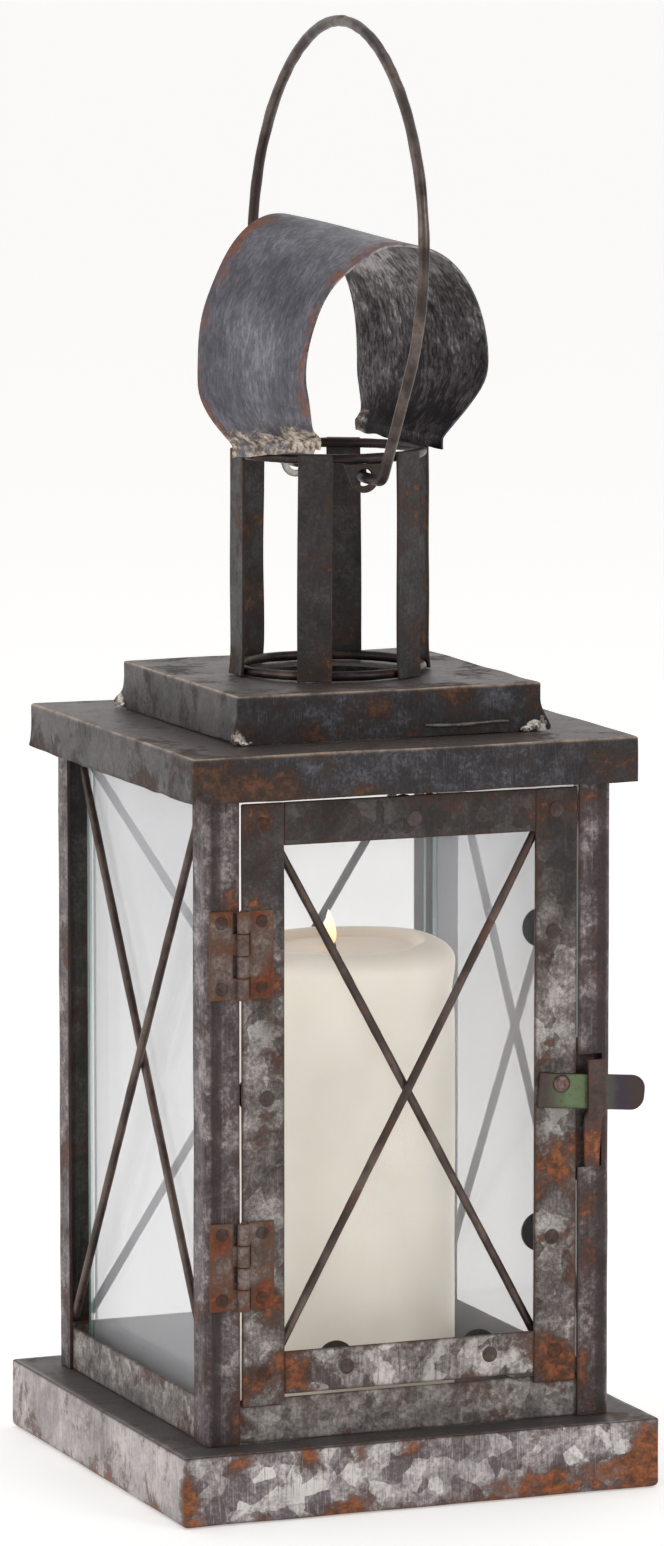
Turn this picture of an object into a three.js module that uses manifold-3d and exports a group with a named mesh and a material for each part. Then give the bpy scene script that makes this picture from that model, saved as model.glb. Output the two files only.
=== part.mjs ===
// Candle lantern: a square sheet-metal lantern with glass sides, a hinged front door with a
// drop latch, a stepped roof, a chimney cage under a rolled smoke hood, and a wire carrying bail.
// Millimetres, +Z up, door facing -Y, origin at the middle of the footprint on the ground.
import * as THREE from 'three';
import { mergeVertices } from 'three/addons/utils/BufferGeometryUtils.js';
import Module from 'manifold-3d';

const wasm = await Module();
wasm.setup();

// Driving dimensions
const sheet = 1.0;             // thickness of the folded sheet parts
const strap = 1.2;             // thickness of flat straps and angle flanges
const joint = 0.05;            // hairline left where welded or soldered parts meet
const clearance = 0.3;         // running gap beside anything that turns
const over = 1;                // how far a cutter runs past what it cuts

const baseWidth = 165;
const baseHeight = 23;
const baseReturn = 7;          // turned-in lip that the lantern rests on
const baseCorner = 2;

const bodyHalf = 70.15;        // outer faces of the corner posts
const flange = 11.5;           // width of each leg of a corner post
const postBend = 3.0;          // outer bend radius of a corner post
const railHeight = 14;
const railInset = 2.75;        // ends of the front and back rails, in from the post faces
const sideRailInset = 2.85;
const glassHalf = 59.5;
const crossLap = 1.5;          // how far the guard rods run behind the posts
const crossLift = 4;           // their lower ends above the rail

const lidWidth = 153.4;
const lidSkirt = 14.8;
const lidTop = 245.7;
const lidHole = 92;
const roofCorner = 1.5;
const capWidth = 105.5;
const capHeight = 15.9;
const ventRadius = 25;

const frameDrop = 0.8;         // underside of the top frame above the door
const frameCorner = 2.5;

const rodRadius = 1.4;         // crossed guard rods
const glassThick = 2.0;

const doorHalf = 57.75;
const doorLow = 35;
const doorHigh = 229.4;
const stileWidth = 14.4;
const doorRail = 13.8;
const doorRailLow = 38.4;      // underside of the bottom rail; the stiles run below it
const paneLap = 3.6;           // how far the door's glass runs behind its frame
const clipInset = 6.4;         // centres of the glass clips, in from the frame's inner edges
const clipHalf = 6.5;
const clipThick = 1;

const hingeX = -58.2;          // hinge line, in the gap between post and door
const hingeY = -72.3;
const hingeLength = 28.4;
const hingeCentres = { upper: 181.4, lower: 81.1 };
const knuckleRadius = 1.95;
const pinRadius = 1.0;
const pinProud = 0.4;
const leafStart = 2.8;         // from the hinge line to the near edge of a leaf
const leafReach = 10.9;        // and to its far edge
const leafThick = 0.8;
const knuckleCount = 4;

const rivetX = 51.9;           // latch pivot
const rivetZ = 133.2;
const rivetShank = 1.6;
const latchWidth = 11.4;
const latchThick = 1.5;
const latchDroop = 5;          // degrees the bar leans down into its keeper
const latchGap = 0.2;          // between the bar and its stile
const keeperLeft = 60.9;
const keeperWidth = 6;
const keeperRoot = 105.1;
const keeperTop = 140.5;
const keeperOut = 2.75;        // how far its tip stands in front of the post
const notchHead = 1.5;         // height of the notch above the keeper
const backingDepth = 3.2;      // strip inside the post that closes the notch
const backingThick = 0.8;
const backingLap = 5;          // how far it runs past the notch, up and down

const ringRadius = 30;         // wire rings of the chimney cage
const ringWire = 1.6;
const cageTop = 335.2;
const cageStrips = 6;
const cageStripWidth = 11.3;

const hoodTurn = 30;           // degrees from the door's side to the hood's axis, towards +X
const hoodLength = 49;
const hoodShift = 3.5;         // how far the hood sits forward along its axis
const hoodFoot = 331;
const hoodWaist = 361;         // height where the hood is widest
const hoodHalf = 45.3;
const hoodRise = 45;           // from the waist to the crown
const hoodFlare = 4;           // straight foot below the flare
const hoodSpread = 0.07;       // how much wider the front rim is, and the back narrower
const hoodDip = 0.094;         // how much lower the front rim is
const hoodPinch = 0.735;       // length of the feet as a share of the hood's
const footRise = 4;            // how far the feet are cut back above hoodFoot
const footTilt = 2.3;          // and the slant of their lower edges, one way on each side

const pivotZ = 327.5;          // line the bail turns about
const bailRadius = 75;
const bailCentre = 70.5;       // hoop centre above the pivot line
const bailWire = 1.8;
const bailLean = 1.7;          // degrees off upright at rest
const lugHalf = 7;
const lugRound = 5;

const candleRadius = 40;
const candleHeight = 150;
const candleX = 1.5;
const candleShoulder = 5;
const poolDepth = 3;

// Materials
const metal = (color, roughness) => new THREE.MeshStandardMaterial({ color, roughness, metalness: 0.8 });
const zinc = metal('#86807f', 0.55);
const agedSheet = metal('#574f4d', 0.6);
const hoodSheet = metal('#6e6e76', 0.5);
const darkWire = metal('#3f3431', 0.5);
const darkStrap = metal('#3a3535', 0.6);
const rustyHinge = metal('#8a6a5c', 0.7);
const latchSteel = metal('#5a4f4a', 0.55);
const glass = new THREE.MeshStandardMaterial({ color: '#dfe8e8', roughness: 0.05, metalness: 0 });
const wax = new THREE.MeshStandardMaterial({ color: '#e6e0d0', roughness: 0.5, metalness: 0 });
const cotton = new THREE.MeshStandardMaterial({ color: '#2b2320', roughness: 0.9, metalness: 0 });

const lantern = new THREE.Group();
const door = new THREE.Group();
lantern.add(door);

function add(group, name, geometry, material) {
  const mesh = new THREE.Mesh(geometry, material);
  mesh.name = name;
  group.add(mesh);
  return mesh;
}

// Booleans
function toSolid(geometry) {
  const bare = geometry.clone();
  bare.deleteAttribute('normal');
  bare.deleteAttribute('uv');
  const welded = mergeVertices(bare, 1e-4);
  const vertProperties = new Float32Array(welded.attributes.position.array);
  const triVerts = new Uint32Array(welded.index.array);
  return new wasm.Manifold(new wasm.Mesh({ numProp: 3, vertProperties, triVerts }));
}

function toGeometry(solid) {
  const mesh = solid.getMesh();
  const geometry = new THREE.BufferGeometry();
  geometry.setAttribute('position', new THREE.BufferAttribute(mesh.vertProperties, 3));
  geometry.setIndex(new THREE.BufferAttribute(mesh.triVerts, 1));
  geometry.computeVertexNormals();
  return geometry;
}

function cut(body, ...tools) {
  const rest = tools.reduce((left, tool) => left.subtract(toSolid(tool)), toSolid(body));
  return toGeometry(rest);
}

// Plain shapes
function slab(low, high) {
  const size = high.map((value, i) => value - low[i]);
  const middle = high.map((value, i) => (value + low[i]) / 2);
  return new THREE.BoxGeometry(...size).translate(...middle);
}

function extrude(shape, depth, curveSegments = 6) {
  return new THREE.ExtrudeGeometry(shape, { depth, bevelEnabled: false, curveSegments });
}

function upright(radius, low, high, sides = 16) {
  const cylinder = new THREE.CylinderGeometry(radius, radius, high - low, sides);
  return cylinder.rotateX(Math.PI / 2).translate(0, 0, (low + high) / 2);
}

function roundedSquare(half, radius) {
  const inner = half - radius;
  const quarter = Math.PI / 2;
  const shape = new THREE.Shape();
  shape.moveTo(half, -inner);
  shape.absarc(inner, inner, radius, 0, quarter);
  shape.absarc(-inner, inner, radius, quarter, 2 * quarter);
  shape.absarc(-inner, -inner, radius, 2 * quarter, 3 * quarter);
  shape.absarc(inner, -inner, radius, 3 * quarter, 4 * quarter);
  return shape;
}

function squarePrism(width, radius, low, high) {
  return extrude(roundedSquare(width / 2, radius), high - low, 4).translate(0, 0, low);
}

// Folded tray, open below: a top plate with four skirts
function tray(width, low, high, corner, hole) {
  const shell = squarePrism(width, corner, low, high);
  const hollow = squarePrism(width - 2 * sheet, corner - sheet / 2, low - over, high - sheet);
  return cut(shell, hollow, hole);
}

function buildBase() {
  const shell = squarePrism(baseWidth, baseCorner, 0, baseHeight);
  const hollow = squarePrism(baseWidth - 2 * sheet, baseCorner - sheet / 2, sheet, baseHeight - sheet);
  const mouth = squarePrism(baseWidth - 2 * baseReturn, baseCorner, -over, 2 * sheet);
  add(lantern, 'base_tray', cut(shell, hollow, mouth), zinc);
}

// Angle post seen in plan, its outer corner at the origin and its legs along +X and +Y
function postShape() {
  const inner = postBend - strap;
  const shape = new THREE.Shape();
  shape.moveTo(flange, 0);
  shape.lineTo(flange, strap);
  shape.absarc(postBend, postBend, inner, -Math.PI / 2, -Math.PI, true);
  shape.lineTo(strap, flange);
  shape.lineTo(0, flange);
  shape.absarc(postBend, postBend, postBend, Math.PI, 1.5 * Math.PI);
  return shape;
}

// The keeper is lanced out of the front right post and leaves this notch in its front leg
function keeperNotch() {
  const edge = bodyHalf - flange - over;
  const right = keeperLeft + keeperWidth + clearance;
  return slab([edge, -bodyHalf - over, keeperRoot - joint],
    [right, -bodyHalf + strap + over, keeperTop + notchHead]);
}

function buildPosts() {
  const low = baseHeight + joint;
  const high = lidTop - sheet - 2 * joint;
  const names = ['post_front_left', 'post_front_right', 'post_back_right', 'post_back_left'];
  names.forEach((name, i) => {
    const turn = i * Math.PI / 2;
    const bar = extrude(postShape(), high - low).translate(-bodyHalf, -bodyHalf, low).rotateZ(turn);
    add(lantern, name, name === 'post_front_right' ? cut(bar, keeperNotch()) : bar, zinc);
  });
}

// Walls are laid out facing -Y by their depth behind the outer faces, then turned
const behind = (depth) => -bodyHalf + depth;

// Strip that closes the notch from inside the post
function buildBacking() {
  const left = bodyHalf - flange + joint;
  const right = bodyHalf - strap - joint;
  const strip = slab([left, behind(backingDepth), keeperRoot - backingLap],
    [right, behind(backingDepth + backingThick), keeperTop + notchHead + backingLap]);
  add(lantern, 'latch_slot_backing', strip, zinc);
}

const firstRod = strap + 2 * joint + rodRadius;
const secondRod = firstRod + 2 * rodRadius + 2 * joint;
const glassFront = secondRod + rodRadius + 3 * joint;
const railTop = baseHeight + railHeight;

function rod(from, to) {
  const start = new THREE.Vector3(...from);
  const along = new THREE.Vector3(...to).sub(start);
  const up = new THREE.Vector3(0, 1, 0);
  const turn = new THREE.Quaternion().setFromUnitVectors(up, along.clone().normalize());
  const middle = start.addScaledVector(along, 0.5);
  return new THREE.CylinderGeometry(rodRadius, rodRadius, along.length(), 10)
    .applyQuaternion(turn).translate(middle.x, middle.y, middle.z);
}

function addCross(group, prefix, half, low, high, turn) {
  const rising = rod([-half, behind(firstRod), low], [half, behind(firstRod), high]);
  const falling = rod([-half, behind(secondRod), high], [half, behind(secondRod), low]);
  add(group, `${prefix}_rod_rising`, rising, darkWire).rotation.z = turn;
  add(group, `${prefix}_rod_falling`, falling, darkWire).rotation.z = turn;
}

function buildWalls() {
  const crossHalf = bodyHalf - flange + crossLap;
  ['right', 'back', 'left'].forEach((side, i) => {
    const turn = (i + 1) * Math.PI / 2;
    const half = bodyHalf - (side === 'back' ? railInset : sideRailInset);
    const depth = strap + joint + (side === 'back' ? clearance : 0);
    const rail = slab([-half, behind(depth), baseHeight + joint], [half, behind(depth + sheet), railTop]);
    add(lantern, `rail_${side}`, rail, zinc).rotation.z = turn;
    addCross(lantern, side, crossHalf, railTop + crossLift, doorHigh - sheet, turn);
    const pane = slab([-glassHalf, behind(glassFront), baseHeight + joint],
      [glassHalf, behind(glassFront + glassThick), lidTop - 2 * sheet]);
    add(lantern, `glass_${side}`, pane, glass).rotation.z = turn;
  });
}

// The front rail sits deeper, so that the door's stiles close against it
function buildSill() {
  const depth = strap + clearance + 2 * joint;
  const half = bodyHalf - railInset;
  const sill = slab([-half, behind(depth), baseHeight + joint], [half, behind(depth + sheet), railTop]);
  add(lantern, 'rail_front', sill, zinc);
}

// Flat strap ring behind the lid's skirt that ties the posts together
function buildTopFrame() {
  const outer = 2 * (bodyHalf - strap - joint);
  const low = doorHigh + frameDrop;
  const high = lidTop - sheet - joint;
  const block = squarePrism(outer, frameCorner, low, high);
  const hollow = squarePrism(outer - 2 * sheet, frameCorner - sheet, low - over, high + over);
  add(lantern, 'top_frame', cut(block, hollow), zinc);
}

function buildRoof() {
  const opening = squarePrism(lidHole, sheet, lidTop - sheet - over, lidTop + over);
  add(lantern, 'lid', tray(lidWidth, lidTop - lidSkirt, lidTop, roofCorner, opening), agedSheet);
  const capLow = lidTop + joint;
  const capTop = lidTop + capHeight;
  const vent = upright(ventRadius, capTop - sheet - over, capTop + over, 40);
  add(lantern, 'cap', tray(capWidth, capLow, capTop, roofCorner, vent), agedSheet);
}

function buildCage() {
  const floor = lidTop + capHeight + joint;
  const ring = new THREE.TorusGeometry(ringRadius, ringWire, 8, 40);
  add(lantern, 'ring_lower', ring.clone(), darkWire).position.z = floor + ringWire;
  add(lantern, 'ring_upper', ring, darkWire).position.z = cageTop - ringWire;
  const near = ringRadius + ringWire + joint;
  const half = cageStripWidth / 2;
  for (let i = 0; i < cageStrips; i += 1) {
    const bar = slab([-half, -near - sheet, floor], [half, -near, cageTop]);
    add(lantern, `chimney_strip_${i + 1}`, bar, darkStrap).rotation.z = (2 * i + 1) * Math.PI / cageStrips;
  }
}

const smooth = THREE.MathUtils.smoothstep;

// Half of the hood's outline seen along its axis: foot, flare, then a quarter of an ellipse.
// inset moves it inwards, for the inner face of the sheet.
function hoodOutline(inset) {
  const foot = ringRadius + ringWire + joint + sheet - inset;
  const half = hoodHalf - inset;
  const root = hoodFoot + hoodFlare;
  const controls = [[foot, root], [foot + 3, root + 4], [half, hoodWaist - 12], [half, hoodWaist]];
  const flare = new THREE.CubicBezierCurve(...controls.map(([x, y]) => new THREE.Vector2(x, y)));
  const points = [new THREE.Vector2(foot, hoodFoot), ...flare.getPoints(8)];
  const archSteps = 12;
  for (let i = 1; i <= archSteps; i += 1) {
    const angle = i / archSteps * Math.PI / 2;
    points.push(new THREE.Vector2(half * Math.cos(angle), hoodWaist + (hoodRise - inset) * Math.sin(angle)));
  }
  return points;
}

// The loop is an extruded outline, then drawn in and cut back at the feet, and opened wider
// and lower towards its front rim
function buildHood() {
  const mirror = (points) => points.slice(0, -1).reverse().map((p) => new THREE.Vector2(-p.x, p.y));
  const outer = hoodOutline(0);
  const inner = hoodOutline(sheet);
  const outline = new THREE.Shape([...outer, ...mirror(outer), ...[...inner, ...mirror(inner)].reverse()]);
  const band = new THREE.ExtrudeGeometry(outline, { depth: hoodLength, steps: 4, bevelEnabled: false });
  band.translate(0, 0, -hoodLength / 2);
  const points = band.attributes.position;
  for (let i = 0; i < points.count; i += 1) {
    const across = points.getX(i);
    const height = points.getY(i);
    const along = points.getZ(i) * 2 / hoodLength;
    const low = 1 - smooth(height, hoodFoot, hoodFoot + 16);
    const lift = (footRise - footTilt * along * Math.sign(across)) * low;
    const wide = 1 + hoodSpread * along * smooth(height, hoodFoot + 5, hoodWaist);
    const dip = Math.max(0, height - hoodWaist) * hoodDip * along;
    const pinch = hoodPinch + (1 - hoodPinch) * smooth(height, hoodFoot + 3, hoodWaist - 4);
    points.setXYZ(i, across * wide, height + lift - dip, points.getZ(i) * pinch + hoodShift);
  }
  // outline X lies across the hood, its Y is height, and the extrusion runs along the hood's axis
  band.rotateX(Math.PI / 2);
  add(lantern, 'smoke_hood', band, hoodSheet).rotation.z = hoodTurn * Math.PI / 180;
}

// Tapered lug under the upper ring, with a hole for the end of the bail
function buildLugs() {
  const top = cageTop - 2 * ringWire - joint - pivotZ;
  const side = Math.atan2(top, lugHalf) - Math.acos(lugRound / Math.hypot(top, lugHalf));
  const shape = new THREE.Shape();
  shape.moveTo(-lugHalf, top);
  shape.absarc(0, 0, lugRound, Math.PI - side, 2 * Math.PI + side);
  shape.lineTo(lugHalf, top);
  const blank = extrude(shape, strap, 12).translate(0, 0, -strap / 2);
  const hole = upright(bailWire + 1, -strap, strap, 20);
  const plate = cut(blank, hole).rotateX(Math.PI / 2);
  [['bail_lug_front', -1], ['bail_lug_back', 1]].forEach(([name, way]) => {
    add(lantern, name, plate.clone(), darkStrap).position.set(0, way * ringRadius, pivotZ);
  });
}

// One half of the bail's centre line from its hooked end to the crown, as [across, up]
function bailHalf() {
  const points = [];
  const arc = (cx, cy, radius, from, to, steps) => {
    for (let i = 0; i <= steps; i += 1) {
      const angle = (from + (to - from) * i / steps) * Math.PI / 180;
      points.push([cx + radius * Math.cos(angle), cy + radius * Math.sin(angle)]);
    }
  };
  const hookRadius = 2.6;
  const hookTip = 4.6;
  const hookStart = ringRadius - 3;
  const bendRadius = 6;
  const leave = 30;            // degrees below level where the hoop runs out into a straight leg
  const slope = leave * Math.PI / 180;
  const drop = bailCentre - bailRadius * Math.sin(slope);
  const bendX = bailRadius * Math.cos(slope) - drop * Math.tan(slope) - bendRadius * Math.tan(slope);
  points.push([hookStart, hookTip]);
  arc(hookStart + hookRadius, hookRadius, hookRadius, 180, 270, 4);
  arc(bendX, bendRadius, bendRadius, 270, 360 - leave, 5);
  arc(0, bailCentre, bailRadius, -leave, 90, 22);
  return points;
}

function buildBail() {
  const half = bailHalf();
  const place = ([across, up], way) => new THREE.Vector3(0, way * across, up);
  const route = [...half.map((p) => place(p, -1)), ...half.slice(0, -1).reverse().map((p) => place(p, 1))];
  const path = new THREE.CurvePath();
  for (let i = 1; i < route.length; i += 1) path.add(new THREE.LineCurve3(route[i - 1], route[i]));
  const section = new THREE.Shape();
  section.absarc(0, 0, bailWire, 0, 2 * Math.PI);
  const smoothPath = new THREE.CatmullRomCurve3(path.getSpacedPoints(110), false, 'centripetal');
  const wire = new THREE.ExtrudeGeometry(section, { steps: 90, curveSegments: 5, extrudePath: smoothPath });
  const bail = add(lantern, 'bail_handle', wire, darkWire);
  bail.position.z = pivotZ;
  bail.rotation.y = bailLean * Math.PI / 180;
}

function buildCandle() {
  const foot = baseHeight + joint;
  const top = baseHeight + candleHeight;
  const pool = top - poolDepth;
  const shoulder = new THREE.Path();
  shoulder.absarc(candleRadius - candleShoulder, top - candleShoulder, candleShoulder, 0, Math.PI / 2);
  const points = (pairs) => pairs.map(([radius, height]) => new THREE.Vector2(radius, height));
  const side = points([[0, foot], [candleRadius, foot]]);
  const inner = points([[candleRadius - 7, top - 0.4], [candleRadius - 12, top - 2.2], [0, pool]]);
  const body = new THREE.LatheGeometry([...side, ...shoulder.getPoints(4), ...inner], 48);
  add(lantern, 'candle', body.rotateX(Math.PI / 2), wax).position.x = candleX;
  add(lantern, 'wick', upright(0.9, pool + 0.2, top + 2.5, 8), cotton).position.x = candleX;
}

// Half a hinge: a leaf and the knuckles rolled from it. side is -1 on the post, 1 on the door.
function hingeLeaf(side) {
  const pitch = hingeLength / knuckleCount;
  const back = -bodyHalf - joint - hingeY;
  const front = back - leafThick;
  const low = -hingeLength / 2;
  const spread = (from, to) => (side > 0 ? [from, to] : [-to, -from]);
  const [plateLow, plateHigh] = spread(leafStart, leafReach);
  let leaf = toSolid(slab([plateLow, front, low], [plateHigh, back, low + hingeLength]));
  for (let i = side > 0 ? 1 : 0; i < knuckleCount; i += 2) {
    const bottom = low + i * pitch + (i > 0 ? clearance / 2 : 0);
    const top = low + (i + 1) * pitch - (i < knuckleCount - 1 ? clearance / 2 : 0);
    const [armLow, armHigh] = spread(0, leafStart + 1);
    const arm = slab([armLow, front, bottom], [armHigh, knuckleRadius - 0.1, top]);
    leaf = leaf.add(toSolid(arm)).add(toSolid(upright(knuckleRadius, bottom, top)));
  }
  const bore = upright(pinRadius + 2 * joint, low - over, low + hingeLength + over);
  return toGeometry(leaf.subtract(toSolid(bore)));
}

function buildHinges() {
  Object.entries(hingeCentres).forEach(([level, height]) => {
    const reach = hingeLength / 2 + pinProud;
    const pin = upright(pinRadius, -reach, reach);
    add(lantern, `hinge_${level}_post_leaf`, hingeLeaf(-1), rustyHinge).position.set(hingeX, hingeY, height);
    add(lantern, `hinge_${level}_pin`, pin, rustyHinge).position.set(hingeX, hingeY, height);
    add(door, `hinge_${level}_door_leaf`, hingeLeaf(1), rustyHinge).position.set(hingeX, hingeY, height);
  });
}

// Flat disc on a short shank that traps the edge of the door's glass from the inside
function glassClip() {
  const shank = 1.5;
  const root = strap + joint;
  const near = glassFront + glassThick + 2 * joint;
  const far = near + clipThick;
  const profile = [[0, root], [shank, root], [shank, near], [clipHalf, near], [clipHalf, far], [0, far]];
  return new THREE.LatheGeometry(profile.map(([radius, depth]) => new THREE.Vector2(radius, depth)), 20);
}

const openingHalf = doorHalf - stileWidth;
const openingLow = doorRailLow + doorRail;
const openingHigh = doorHigh - doorRail;

function buildDoorFrame() {
  const front = behind(0);
  const back = behind(strap);
  const left = slab([-doorHalf, front, doorLow], [-openingHalf, back, doorHigh]);
  const right = slab([openingHalf, front, doorLow], [doorHalf, back, doorHigh]);
  const hole = new THREE.CylinderGeometry(rivetShank + 2 * joint, rivetShank + 2 * joint, 4 * strap, 16)
    .translate(rivetX, front, rivetZ);
  add(door, 'door_stile_left', left, zinc);
  add(door, 'door_stile_right', cut(right, hole), zinc);
  const half = openingHalf - joint;
  add(door, 'door_rail_top', slab([-half, front, openingHigh], [half, back, doorHigh]), zinc);
  add(door, 'door_rail_bottom', slab([-half, front, doorRailLow], [half, back, openingLow]), zinc);
}

function buildDoorGlass() {
  addCross(door, 'door', openingHalf + 3, openingLow - 3, openingHigh + 4, 0);
  const pane = slab([-openingHalf - paneLap, behind(glassFront), openingLow - paneLap],
    [openingHalf + paneLap, behind(glassFront + glassThick), openingHigh + paneLap]);
  add(door, 'glass_door', pane, glass);
  const side = openingHalf + 6;
  const below = openingLow - clipInset;
  const spots = { right_upper: [side, 182.8], right_lower: [side, 82.9], left: [-side, 134.6],
    bottom_left: [-22, below], bottom_right: [27.7, below], top: [1.2, openingHigh + clipInset] };
  Object.entries(spots).forEach(([name, [x, z]]) => {
    add(door, `glass_clip_${name}`, glassClip(), darkStrap).position.set(x, -bodyHalf, z);
  });
}

// Bar with a round outer end, drawn about its pivot, [x, z]
function latchShape() {
  const left = -7.7;
  const right = 29.7;
  const top = 3.3;
  const low = top - latchWidth;
  const corner = 4.5;
  const shape = new THREE.Shape();
  shape.moveTo(left, low);
  shape.absarc(right - corner, low + corner, corner, -Math.PI / 2, 0);
  shape.absarc(right - corner, top - corner, corner, 0, Math.PI / 2);
  shape.lineTo(left, top);
  return shape;
}

function buildLatch() {
  const hole = upright(rivetShank + latchGap, -over, latchThick + over);
  const bar = cut(extrude(latchShape(), latchThick, 8), hole).rotateX(Math.PI / 2);
  const latch = add(door, 'latch_bar', bar, latchSteel);
  latch.position.set(rivetX, -bodyHalf - latchGap, rivetZ);
  latch.rotation.y = latchDroop * Math.PI / 180;
}

// Rivet through the bar and the stile, headed on both sides
function buildLatchRivet() {
  const head = latchThick + latchGap + 3 * joint;
  const tail = -strap - 2 * joint;
  const profile = [[0, head + 1], [1.6, head + 0.9], [2.9, head + 0.4], [2.9, head], [rivetShank, head],
    [rivetShank, tail], [2.6, tail], [2.6, tail - 0.8], [0, tail - 0.8]];
  const rivet = new THREE.LatheGeometry(profile.map(([radius, out]) => new THREE.Vector2(radius, -out)), 16);
  add(door, 'latch_rivet', rivet, rustyHinge).position.set(rivetX, -bodyHalf, rivetZ);
}

// Closed outline of a bent strap of even thickness, from its centre line
function strapOutline(line, thickness) {
  const side = (way) => line.map((p, i) => {
    const before = line[Math.max(i - 1, 0)];
    const after = line[Math.min(i + 1, line.length - 1)];
    const first = new THREE.Vector2().subVectors(i > 0 ? p : after, i > 0 ? before : p).normalize();
    const last = i === line.length - 1;
    const second = new THREE.Vector2().subVectors(last ? p : after, last ? before : p).normalize();
    const normal = new THREE.Vector2(-first.y - second.y, first.x + second.x).normalize();
    const reach = way * thickness / 2 / Math.abs(normal.dot(new THREE.Vector2(-first.y, first.x)));
    return p.clone().addScaledVector(normal, reach);
  });
  return new THREE.Shape([...side(1), ...side(-1).reverse()]);
}

// Hook lanced from the post's leg: up in the plane of the leg, out under the bar, up in front of it
function buildKeeper() {
  const bends = [[-strap / 2, keeperRoot], [-strap / 2, 120.3], [keeperOut, 123.65], [keeperOut, keeperTop]];
  const line = bends.map(([out, up]) => new THREE.Vector2(out, up));
  // outline X points away from the post and becomes -Y; the extrusion becomes -X
  const turn = new THREE.Matrix4().makeBasis(new THREE.Vector3(0, -1, 0), new THREE.Vector3(0, 0, 1),
    new THREE.Vector3(-1, 0, 0));
  const hook = extrude(strapOutline(line, strap), keeperWidth).applyMatrix4(turn);
  add(lantern, 'latch_keeper', hook, latchSteel).position.set(keeperLeft + keeperWidth, -bodyHalf, 0);
}

buildBase();
buildPosts();
buildBacking();
buildWalls();
buildSill();
buildTopFrame();
buildRoof();
buildCage();
buildHood();
buildLugs();
buildBail();
buildCandle();
buildHinges();
buildDoorFrame();
buildDoorGlass();
buildLatch();
buildLatchRivet();
buildKeeper();

export default lantern;
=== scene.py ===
import math

import bmesh
import bpy
import numpy as np
from mathutils import Matrix, Vector


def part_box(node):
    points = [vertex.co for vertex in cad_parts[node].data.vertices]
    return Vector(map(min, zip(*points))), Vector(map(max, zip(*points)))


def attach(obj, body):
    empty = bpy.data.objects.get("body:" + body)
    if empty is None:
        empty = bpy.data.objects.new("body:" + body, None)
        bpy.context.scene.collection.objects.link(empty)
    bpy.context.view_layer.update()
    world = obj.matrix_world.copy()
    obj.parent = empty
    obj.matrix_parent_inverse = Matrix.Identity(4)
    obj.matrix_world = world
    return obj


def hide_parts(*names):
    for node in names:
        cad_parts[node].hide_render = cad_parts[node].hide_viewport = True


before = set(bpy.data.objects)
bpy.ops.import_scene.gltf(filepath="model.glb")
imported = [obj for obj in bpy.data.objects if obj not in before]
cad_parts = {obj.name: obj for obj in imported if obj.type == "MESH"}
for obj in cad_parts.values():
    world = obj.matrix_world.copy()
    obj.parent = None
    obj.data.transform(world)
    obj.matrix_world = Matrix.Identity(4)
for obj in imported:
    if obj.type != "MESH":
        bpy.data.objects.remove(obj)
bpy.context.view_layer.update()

scene = bpy.context.scene
mm = 0.001


def linear(hexColour):  # sRGB hex to a linear colour
    channels = [int(hexColour[i:i + 2], 16) / 255 for i in (1, 3, 5)]
    return [c / 12.92 if c <= 0.04045 else ((c + 0.055) / 1.055) ** 2.4 for c in channels] + [1.0]


# Settings that many nodes share
blend = {"data_type": "RGBA"}
eased = {"interpolation_type": "SMOOTHSTEP"}
scaleAdd = {"operation": "MULTIPLY_ADD"}
times = {"operation": "MULTIPLY"}


# One node, with its settings and its inputs set or linked
def put(tree, kind, settings=None, inputs=None, out=0):
    node = tree.nodes.new("ShaderNode" + kind)
    for key, value in (settings or {}).items():
        setattr(node, key, value)
    for key, value in (inputs or {}).items():
        if isinstance(value, bpy.types.NodeSocket):
            tree.links.new(value, node.inputs[key])
        else:
            node.inputs[key].default_value = value
    return node.outputs[out] if len(node.outputs) else node


view = {
    "place": (-0.916363, -2.301594, 0.560798), "azimuth": -0.379214, "elevation": 0.133596, "lens": 178.02,
}
studio = {
    "front": 0.34, "back": 1.12, "left": 0.5, "top": 0.55, "floor": "#F4F3F1", "floorGlow": 0.4,
    "floorSize": 30,
}
lamps = {  # place, aim, size in metres and watts
    "keyPanel": ((1.1, -2.0, 1.0), (0, 0, 0.2), 1.0, 14),
    "leftPanel": ((-2.2, -0.6, 0.9), (0, 0, 0.25), 1.0, 7),
    "topPanel": ((0.2, 0.6, 2.2), (0, 0, 0.2), 1.4, 5),
}


def makeCamera():
    side, lift = view["azimuth"], view["elevation"]
    back = Vector((math.sin(side) * math.cos(lift), -math.cos(side) * math.cos(lift), math.sin(lift)))
    right = Vector((math.cos(side), math.sin(side), 0))
    camera = bpy.data.objects.new("camera", bpy.data.cameras.new("camera"))
    camera.data.lens = view["lens"]
    camera.data.sensor_width = 36
    camera.data.clip_end = 60
    turn = Matrix((right, back.cross(right), back)).transposed().to_4x4()
    camera.matrix_world = Matrix.Translation(view["place"]) @ turn
    scene.collection.objects.link(camera)
    scene.camera = camera


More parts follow.
